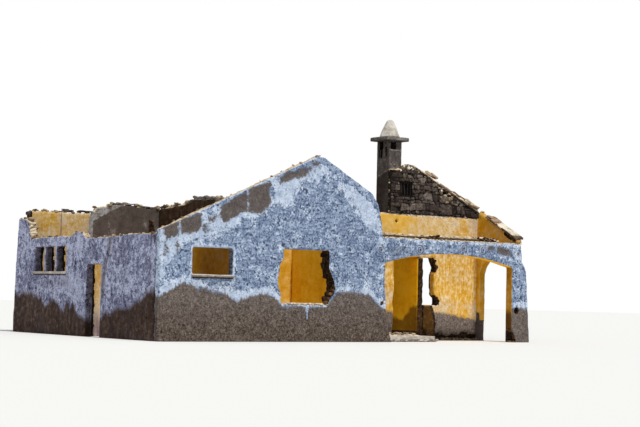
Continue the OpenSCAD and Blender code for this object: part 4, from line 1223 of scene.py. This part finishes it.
rng = random.Random(31)
stones = []
for k in range(16):
    u = 9.9 + k * 0.058 + rng.uniform(-0.02, 0.02)
    s = rng.uniform(0.05, 0.11)
    spot = (u, 1.99 + rng.uniform(-0.04, 0.06), along(u, SHOULDER))
    stones.append((stone_verts((s * 1.5, 0.2, s * 0.7), spot, rng, 2, 0.16, 0.3), rng.random()))
for u, z, width, height, tone in BITE_STONES:
    stones.append((stone_verts((width, 0.16, height), (u, 1.95, z), rng, 3, 0.16, 0.3, 4.0), tone))
stones.append((stone_verts((0.38, 0.2, 0.03), (10.0, 1.95, 5.475), rng, 3, 0.05, 0.03, 7.0), 1.0))
for u, z in ((10.54, 5.645), (10.45, 5.62), (10.66, 5.63), (10.33, 5.57)):
    made = stone_verts((0.13, 0.2, 0.06), (u, 1.97, z), rng, 2, 0.14, 0.2)
    stones.append((made, rng.choice((0.3, 0.8, 1.0))))
join_stones("gable_loose_stones", stones, LOOSE, "rubble_stone")

# pale and dark stones jumbled on the crown of the gable
stones = []
for _ in range(44):
    u = rng.uniform(10.22, 11.0)
    s = rng.uniform(0.045, 0.1)
    spot = (u, 1.91 + rng.uniform(-0.02, 0.05), along(u, CROWN) - rng.uniform(0.0, 0.11))
    made = stone_verts((s * 1.3, 0.12, s), spot, rng, 2, 0.16, 0.5)
    stones.append((made, rng.choice((0.0, 0.0, 0.1, 0.8, 1.0))))
join_stones("gable_crown_stones", stones, MORTAR, "rubble_stone")

# quoins on the left corner of the stack, where the render ends
rng = random.Random(33)
stones = []
z = 4.06
while z < 5.42:
    h = rng.uniform(0.04, 0.11)
    size = (rng.uniform(0.04, 0.08), rng.uniform(0.03, 0.09), h * 0.75)
    made = stone_verts(size, (9.82 + rng.uniform(-0.01, 0.01), 1.95, z + h / 2), rng, 2, 0.2, 0.4)
    stones.append((made, rng.choice((0.0, 0.1, 0.3, 0.8, 1.0))))
    z += h
join_stones("chimney_quoins", stones, LOOSE, "rubble_stone")


# roof tiles left on the verges
def tile_stack(name, line, across, seed, rows, steps, layers):
    """Lengths of broken half-round tile on a verge. line(t) gives a point on it and the upward direction."""
    rng = random.Random(seed)
    verts, faces, tones = [], [], []
    for side in rows:
        for t, layer in ((t, k) for t in steps for k in range(layers(t))):
            t0 = t + rng.uniform(-0.03, 0.03)
            length = rng.uniform(0.26, 0.4)
            radius, thick = rng.uniform(0.09, 0.11), rng.uniform(0.028, 0.038)
            tone, yaw = rng.random(), rng.uniform(-0.16, 0.16)
            lift = 0.08 + layer * rng.uniform(0.045, 0.07)
            pitch = rng.uniform(-0.03, 0.07)
            base, seg, cuts = len(verts), 8, 4
            chip = [rng.uniform(0, 0.05) for _ in range(seg + 1)]
            for j in range(cuts):
                s = j / (cuts - 1)
                for k in range(seg + 1):
                    end = chip[k] if j == cuts - 1 else 0.0
                    p, up = line(t0 + s * length - end)
                    a = math.pi * (0.08 + 0.84 * k / seg)
                    for rr in (radius, radius - thick):
                        verts.append(p + across * (side + math.cos(a) * rr + yaw * (s - 0.5) * 0.4)
                                     + up * (math.sin(a) * rr * 0.55 + lift - 0.04 + pitch * (1 - s)))
                        tones.append(tone)
            ring = (seg + 1) * 2
            for j in range(cuts - 1):
                for k in range(seg):
                    a = base + j * ring + k * 2
                    b = a + ring
                    faces += [[a, a + 2, b + 2, b], [a + 1, b + 1, b + 3, a + 3]]
                for k in (0, seg):
                    a = base + j * ring + k * 2
                    faces.append([a, a + ring, a + ring + 1, a + 1])
            for j in (0, cuts - 1):
                for k in range(seg):
                    a = base + j * ring + k * 2
                    faces.append([a, a + 1, a + 3, a + 2])
    add_piece(name, [q + ORIGIN for q in verts], faces, TILE, "roof_tile", tones)


def gable_line(t):
    """The point this far down the rubble gable's slope, and the direction up from it."""
    d = Vector((1, 0, -FALL)).normalized()
    return Vector((PEAK_U, 0, PEAK_Z)) + d * t, Vector((FALL, 0, 1)).normalized()


def shed_line(t):
    """The same on the shed's side wall, towards the front."""
    d = Vector((0, -1, -SHED_RISE)).normalized()
    return Vector((0, 1.42, SHED_FOOT + SHED_RISE * 1.42)) + d * t, Vector((0, -SHED_RISE, 1)).normalized()


def gable_layers(t):
    """How many tiles lie on each other at this distance down the gable."""
    if t > 2.98 or t < 0.12:
        return 0
    return 1 if 0.5 < t < 1.0 or t > 2.0 else 0


def broken_tiles(name, line, across, seed, rows, spans):
    """Flat lengths of broken tile and mortar in layers along a verge. spans: from, to, layers, share left."""
    rng = random.Random(seed)
    stones = []
    fall = line(1)[0].z - line(0)[0].z
    lean = Matrix.Rotation(math.asin(-fall), 3, "Y" if across.y else "X")
    for a, b, layers, left in spans:
        for layer in range(layers):
            for row in rows:
                t = a + rng.uniform(0.0, 0.2)
                while t < b:
                    length = rng.uniform(0.18, 0.34)
                    if rng.random() < left - 0.12 * layer:
                        size = (length, rng.uniform(0.13, 0.22), rng.uniform(0.04, 0.062))
                        if across.x:
                            size = (size[1], size[0], size[2])
                        vs, fs = stone_verts(size, (0, 0, 0), rng, 3, 0.05, 0.08, 7.0, 0.08)
                        p, up = line(t + length / 2)
                        at = p + up * (0.055 + 0.05 * layer + rng.uniform(-0.008, 0.012))
                        at += across * (row + rng.uniform(-0.03, 0.03))
                        tone = rng.choice((0.1, 0.4, 0.6, 0.8, 1.0))
                        stones.append((([lean @ Vector(q) + at for q in vs], fs), tone))
                    t += length * rng.uniform(0.8, 1.1)
    join_stones(name, stones, TILE, "roof_tile")


INWARDS, SIDEWAYS = Vector((0, 1, 0)), Vector((1, 0, 0))
tile_stack("gable_tiles", gable_line, INWARDS, 5, (1.95, 2.12), [0.6 + 0.3 * k for k in range(8)],
           gable_layers)
broken_tiles("gable_broken_tiles", gable_line, INWARDS, 7, (1.90, 2.05, 2.18),
             ((0.22, 0.5, 1, 0.7), (0.5, 1.1, 3, 0.85), (1.1, 1.9, 1, 0.7), (1.9, 2.95, 3, 0.9)))
broken_tiles("shed_broken_tiles", shed_line, SIDEWAYS, 8, (13.70, 13.86),
             ((-0.1, 0.32, 2, 0.95), (0.6, 1.3, 1, 0.25)))


# loose pieces
def flat_stones(name, spots, material, slot, seed, cuts=2, turn=0.08):
    """Flat broken pieces. spots: u, v, z, length, width, height and tone of each."""
    rng = random.Random(seed)
    join_stones(name, [(stone_verts((a, b, h), (u, v, z), rng, cuts, 0.10, turn, 7.0), tone)
                       for u, v, z, a, b, h, tone in spots], material, slot)


# slabs and rubble left on the wall tops of the wing
END_WALL_V, CROSS_WALL_V, PARTITION_U = 8.93, 4.6, 2.75
flat_stones("end_wall_slabs", [
    (1.70, END_WALL_V, 3.895, 0.40, 0.22, 0.07, 0.15), (1.62, END_WALL_V, 3.945, 0.22, 0.2, 0.035, 0.45),
    (2.26, END_WALL_V, 3.915, 0.34, 0.22, 0.045, 0.15), (2.54, END_WALL_V, 3.915, 0.2, 0.22, 0.05, 0.3),
    (0.30, END_WALL_V, 3.75, 0.13, 0.22, 0.14, 0.0)], SLAB, "concrete", 41, 3)
flat_stones("cross_wall_slabs", [
    (1.15, CROSS_WALL_V, 3.945, 0.4, 0.2, 0.04, 0.5), (1.62, CROSS_WALL_V, 3.965, 0.45, 0.22, 0.035, 0.7),
    (2.1, CROSS_WALL_V, 3.915, 0.36, 0.22, 0.04, 0.3), (2.42, CROSS_WALL_V, 3.905, 0.3, 0.22, 0.04, 0.4)],
            SLAB, "concrete", 42, 3)
PARTITION_TOP = [(0.25, 3.95), (0.9, 4.0), (1.13, 4.04), (1.4, 4.10), (2.5, 4.12), (2.7, 4.04), (3.0, 3.97)]
spots, rng = [], random.Random(43)
for k in range(26):
    v = 1.15 + k * 0.065 + rng.uniform(-0.05, 0.05)
    spots.append((PARTITION_U + rng.uniform(-0.03, 0.03), v,
                  along(v, PARTITION_TOP) + rng.uniform(-0.03, 0.035),
                  0.24, rng.uniform(0.14, 0.3), rng.uniform(0.05, 0.08), rng.uniform(0.3, 0.8)))
flat_stones("partition_rubble", spots, SLAB, "broken_block", 44, 3)

# blocks along the broken step near the far end of the wing
spots, rng = [], random.Random(45)
for k in range(13):
    s = k / 12
    spots.append((0.10 + rng.uniform(-0.05, 0.05), 7.98 + 0.34 * s + rng.uniform(-0.04, 0.02),
                  2.95 + 0.56 * s, rng.uniform(0.16, 0.24), rng.uniform(0.1, 0.2), rng.uniform(0.05, 0.1),
                  rng.choice((0.1, 0.5, 0.8, 1.0))))
flat_stones("wing_broken_blocks", spots, PALE, "broken_block", 46, 3, 0.45)

# fragments left in the foot of the large window
spots, rng = [], random.Random(47)
for k in range(17):
    u = 4.3 + k * 0.1 + rng.uniform(-0.03, 0.03)
    spots.append((u, 0.07 + rng.uniform(-0.03, 0.06), 1.01 + rng.uniform(0, 0.012), rng.uniform(0.07, 0.16),
                  0.14, rng.uniform(0.03, 0.055), rng.uniform(0.3, 1.0)))
flat_stones("window_fragments", spots, PALE, "broken_block", 48)

# stones on the porch floor
spots, rng = [], random.Random(49)
for _ in range(34):
    u, v = rng.uniform(8.5, 10.4), rng.uniform(0.4, 1.85)
    s = rng.uniform(0.05, 0.13)
    spots.append((u, v, 0.10 + s * 0.2, s, s * 0.9, s * 0.6, rng.random()))
flat_stones("porch_floor_stones", spots, LOOSE, "broken_block", 50, 1)

# stones at the foot of the porch's back wall and of the corner pier
GROUND = -0.12
spots, rng = [], random.Random(51)
for _ in range(60):
    u, v = rng.uniform(11.3, 13.7), rng.uniform(1.72, 1.95)
    s = rng.uniform(0.05, 0.14)
    spots.append((u, v, GROUND + s * 0.3, s, s * 0.9, s * 0.7, rng.uniform(0.0, 0.5)))
for _ in range(14):
    s = rng.uniform(0.04, 0.09)
    u, v = rng.uniform(13.5, 13.8), rng.uniform(0.02, 0.25)
    spots.append((u, v, GROUND + s * 0.3, s, s, s * 0.7, rng.uniform(0, 0.4)))
flat_stones("wall_foot_stones", spots, LOOSE, "rubble_stone", 52, 1)

# small stones left along the wall tops: how many, the smallest and the largest
rng = random.Random(61)
stones = []
for name, count, low, high in (
        ("wing_plaster", 70, 0.03, 0.08), ("wing_end_plaster", 26, 0.04, 0.11),
        ("wing_cross_plaster", 30, 0.04, 0.12), ("wing_partition_plaster", 60, 0.05, 0.14),
        ("room_rear_plaster", 30, 0.05, 0.14), ("room_side_plaster", 40, 0.05, 0.13),
        ("inner_side_plaster", 24, 0.05, 0.13), ("side_plaster", 34, 0.05, 0.13),
        ("block_rear_plaster", 40, 0.05, 0.14), ("porch_back_plaster", 26, 0.03, 0.08),
        ("front_plaster", 46, 0.025, 0.06)):
    tops = [p for p in TOPS[name] if p[2] > 2.7]
    for _ in range(count):
        p = Vector(rng.choice(tops)) - ORIGIN
        s = rng.uniform(low, high)
        made = stone_verts((s * 1.4, s * 1.3, s * 0.7), (p.x, p.y, p.z + s * 0.12), rng, 1, 0.14, 0.4)
        stones.append((made, rng.random()))
join_stones("wall_top_stones", stones, LOOSE, "broken_block")

# black ragged pieces behind the far sides of the lights and the door, as painted shade at the jambs' broken
# inner edges
spots, rng = [], random.Random(71)
for far, low, high, deep in ((6.28, 1.84, 2.6, 0.06), (7.03, 1.84, 2.6, 0.06), (7.78, 1.84, 2.6, 0.06),
                             (4.28, -0.1, 2.04, 0.05)):
    z = low
    while z < high:
        h = rng.uniform(0.08, 0.2)
        d = deep * rng.uniform(0.3, 1.3)
        spots.append((0.25 + d / 2 - 0.01, far + 0.05, min(z + h / 2, high), d + 0.02, 0.12, h + 0.02,
                      rng.uniform(0.0, 0.5)))
        z += h
flat_stones("jamb_edge_shade", spots, SHADE_BLACK, "weathered_wood", 72)

# the broken right side of the large window, as shares of its height and how far it is broken out; its pieces
# are near-black, as broken masonry in painted shade
BROKEN_SIDE = [(0, -0.01), (0.13, 0.07), (0.21, 0.22), (0.3, 0.24), (0.44, 0.19), (0.57, 0.08), (0.67, 0),
               (1, 0.01)]
spots, rng = [], random.Random(75)
z = 1.1
while z < 2.6:
    h = rng.uniform(0.07, 0.2)
    edge = 5.92 + along((z + h / 2 - 1.01) / 1.62, BROKEN_SIDE)
    d = rng.uniform(0.02, 0.11)
    spots.append((edge - d / 2 + 0.03, 0.27, min(z + h / 2, 2.6), d + 0.06, 0.1, h + 0.02,
                  rng.uniform(0.0, 0.45)))
    z += h
spots += [(6.03, 0.10, 1.17, 0.16, 0.12, 0.12, 0.7), (6.1, 0.12, 1.33, 0.14, 0.12, 0.1, 0.9),
          (5.95, 0.14, 1.07, 0.14, 0.12, 0.1, 0.8), (6.14, 0.08, 1.45, 0.1, 0.12, 0.08, 0.6),
          (5.92, 0.2, 1.18, 0.1, 0.12, 0.16, 0.4)]
flat_stones("window_broken_side", spots, BROKEN_AND_SHADE, "broken_block", 76, 3, 0.2)

# the broken edges of the gap in the porch's back wall
flat_stones("gap_broken_edges", [
    (11.93, 1.95, 1.12, 0.16, 0.1, 0.13, 0.1), (11.90, 1.93, 1.27, 0.1, 0.08, 0.1, 0.5),
    (11.97, 1.93, 1.2, 0.08, 0.08, 0.1, 0.0), (11.82, 1.94, 2.2, 0.08, 0.1, 0.1, 0.2),
    (11.87, 1.94, 2.32, 0.12, 0.1, 0.14, 0.4), (11.80, 1.94, 2.52, 0.14, 0.1, 0.1, 0.1)],
            BROKEN_AND_SHADE, "broken_block", 77, 3, 0.3)

# crumbs of mortar along the arched wall and its ledge, and at the foot of the shed verge
LEDGE_RISE = [(0, 1), (0.35, 0.85), (0.6, 1), (0.82, 1.4), (0.98, 0.7), (1, 0)]
spots, rng = [], random.Random(81)
u = 8.16
while u < 13.9:
    a, h = rng.uniform(0.05, 0.16), rng.uniform(0.02, 0.035)
    spots.append((u, rng.uniform(0.02, 0.05), 3.14, a, 0.05, h, rng.choice((0.5, 0.8, 1.0))))
    u += a * rng.uniform(0.9, 1.6)
u = 8.2
while u < 12.95:
    top = 3.15 + 0.1 * along((u - 8.14) / 4.86, LEDGE_RISE)
    a, h = rng.uniform(0.05, 0.2), rng.uniform(0.025, 0.06)
    spots.append((u, rng.uniform(0.10, 0.16), top + h * 0.3, a, 0.07, h, rng.choice((0.6, 0.9, 1.0))))
    u += a * rng.uniform(0.9, 2.0)
for k in range(9):
    h = rng.uniform(0.03, 0.08)
    spots.append((13.93 + rng.uniform(-0.03, 0.03), 0.05 + 0.03 * k, 3.15 + 0.012 * k, 0.07, 0.08, h,
                  rng.choice((0.8, 1.0))))
flat_stones("ledge_crumbs", spots, PALE, "broken_block", 82, 2, 0.2)

# darker rubble on the ledge and up the shed verge
spots = []
for k in range(20):
    u = 11.7 + k * 0.062 if k > 5 else 9.75 + k * 0.12
    s = rng.uniform(0.05, 0.12)
    spots.append((u, 0.13 + rng.uniform(-0.02, 0.04), 3.235 + rng.uniform(-0.02, 0.035), s * 1.3, 0.1,
                  s * 0.6, rng.uniform(0.0, 0.5)))
for k in range(9):
    v = 0.10 + k * 0.06
    spots.append((13.72 + rng.uniform(-0.01, 0.02), v, 3.2 + 0.5 * v + rng.uniform(-0.03, 0.02), 0.08, 0.09,
                  rng.uniform(0.05, 0.1), rng.uniform(0.0, 0.5)))
flat_stones("ledge_rubble", spots, BROKEN_AND_SHADE, "rubble_stone", 83, 2, 0.4)

# broken front and end of the porch floor, and the sockets of the bosses, filled black as painted shade
spots = []
for k in range(26):
    u = rng.uniform(8.3, 10.5) if k < 20 else 10.44
    v = 0.27 if k < 20 else rng.uniform(0.3, 1.8)
    s = rng.uniform(0.08, 0.2)
    spots.append((u, v, -0.08 + rng.uniform(0.0, 0.06), s, s * 0.7, s * 0.4, rng.uniform(0.1, 0.9)))
flat_stones("floor_edge_pieces", spots, CONCRETE, "concrete", 84, 2, 0.3)
flat_stones("boss_sockets", [(u, -0.036, z, 0.056, 0.02, 0.056, 0.2) for u, z in BOSSES], SHADE_BLACK, "porch_wash",
            85, 2, 0.2)

# worn plaster rims round the bosses
AROUND, SECTION = 28, 6
verts, faces = [], []
for u, z in BOSSES:
    base = len(verts)
    for i in range(AROUND):
        a = 2 * math.pi * i / AROUND
        here, after = base + i * SECTION, base + (i + 1) % AROUND * SECTION
        for j in range(SECTION):
            b = 2 * math.pi * j / SECTION
            r = 0.108 + 0.015 * math.cos(b) + 0.005 * math.sin(5 * a + u)
            rim = Vector((u + r * math.cos(a), -0.004 + 0.014 * math.sin(b), z + r * math.sin(a)))
            verts.append(ORIGIN + rim)
            following = (j + 1) % SECTION
            faces.append([here + j, here + following, after + following, after + j])
add_piece("boss_rims", verts, faces, WASH, "porch_wash", [0.5] * len(verts))

# bars and post of the attic window
flat_stones("attic_bars", [
    (10.30, 1.965, 4.85, 0.085, 0.06, 0.46, 0.35), (10.44, 1.955, 4.85, 0.04, 0.02, 0.45, 0.5),
    (10.577, 1.955, 4.85, 0.03, 0.02, 0.45, 0.4)], WOOD, "weathered_wood", 73)


# other CAD nodes; the attic shutter takes the near-black of painted shade, for the dark attic behind the bars
for node, material in (("hearth_slab", CONCRETE), ("rubble_gable", DEEPGAP), ("attic_window_frame", WOOD),
                       ("attic_shutter", SHADE_BLACK), ("arch_boss_left", WASH), ("arch_boss_mid", WASH),
                       ("arch_boss_right", WASH), ("arch_boss_end", WASH)):
    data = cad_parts[node].data
    data.materials.clear()
    data.materials.append(material)


# the photograph's camera: its focal length, its right, up and forward axes and its place in the house's frame
FOCAL_PIXELS, PHOTO_WIDTH = 1570.0, 640.0
cam = bpy.data.cameras.new("camera")
cam.sensor_width = 36.0
cam.lens = FOCAL_PIXELS / PHOTO_WIDTH * cam.sensor_width
cam.clip_end = 500.0
camera = add_object("camera", cam)
right, up, fwd = (0.80291, -0.59565, 0.022961), (-0.050293, -0.02931, 0.998304), (0.59397, 0.80271, 0.05349)
eye = Vector((-22.585, -38.024, 1.211)) + ORIGIN
camera.matrix_world = Matrix([(right[k], up[k], -fwd[k], eye[k]) for k in range(3)] + [(0, 0, 0, 1)])
bpy.context.scene.camera = camera

# a pale floor under the house
mesh = bpy.data.meshes.new("floor")
s = 160.0
mesh.from_pydata([(-s, -s, -0.002), (s, -s, -0.002), (s, s, -0.002), (-s, s, -0.002)], [], [[0, 1, 2, 3]])
floor = add_object("floor", mesh)
paving = Tree("floor")
paving.bsdf.inputs["Base Color"].default_value = (0.78, 0.77, 0.75, 1)
paving.bsdf.inputs["Roughness"].default_value = 1.0
paving.bsdf.inputs["Specular IOR Level"].default_value = 0.0
mesh.materials.append(paving.mat)


def add_sun(name, energy, spread, colour, direction):
    """A sun whose light goes in this direction. spread: its angle in degrees."""
    light = bpy.data.lights.new(name, "SUN")
    light.energy = energy
    light.angle = math.radians(spread)
    light.color = colour
    lamp = add_object(name, light)
    lamp.rotation_mode = "QUATERNION"
    lamp.rotation_quaternion = Vector(direction).to_track_quat("-Z", "Y")


# the sun stands high in front, a little to the right, and a wide weak one lights the walls from the left
SUN_UP, SUN_RIGHT = math.radians(62), math.radians(4)
add_sun("sun", 2.65, 3, (1.0, 0.97, 0.92), (-math.sin(SUN_RIGHT) * math.cos(SUN_UP),
                                            math.cos(SUN_RIGHT) * math.cos(SUN_UP), -math.sin(SUN_UP)))
add_sun("fill", 0.5, 40, (1.0, 0.96, 0.90), (0.68, 0.70, -0.22))

# a white backdrop for the camera, and a blue sky for everything that the light reaches
world = bpy.data.worlds.new("world")
bpy.context.scene.world = world
world.use_nodes = True
nodes, links = world.node_tree.nodes, world.node_tree.links
nodes.clear()
shown = nodes.new("ShaderNodeMixShader")
links.new(nodes.new("ShaderNodeLightPath").outputs["Is Camera Ray"], shown.inputs[0])
for k, (colour, strength) in enumerate((((0.84, 0.92, 1.0, 1), 0.50), ((1, 1, 1, 1), 1.0))):
    background = nodes.new("ShaderNodeBackground")
    background.inputs[0].default_value = colour
    background.inputs[1].default_value = strength
    links.new(background.outputs[0], shown.inputs[k + 1])
links.new(shown.outputs[0], nodes.new("ShaderNodeOutputWorld").inputs[0])

bpy.context.scene.view_settings.view_transform = "Standard"
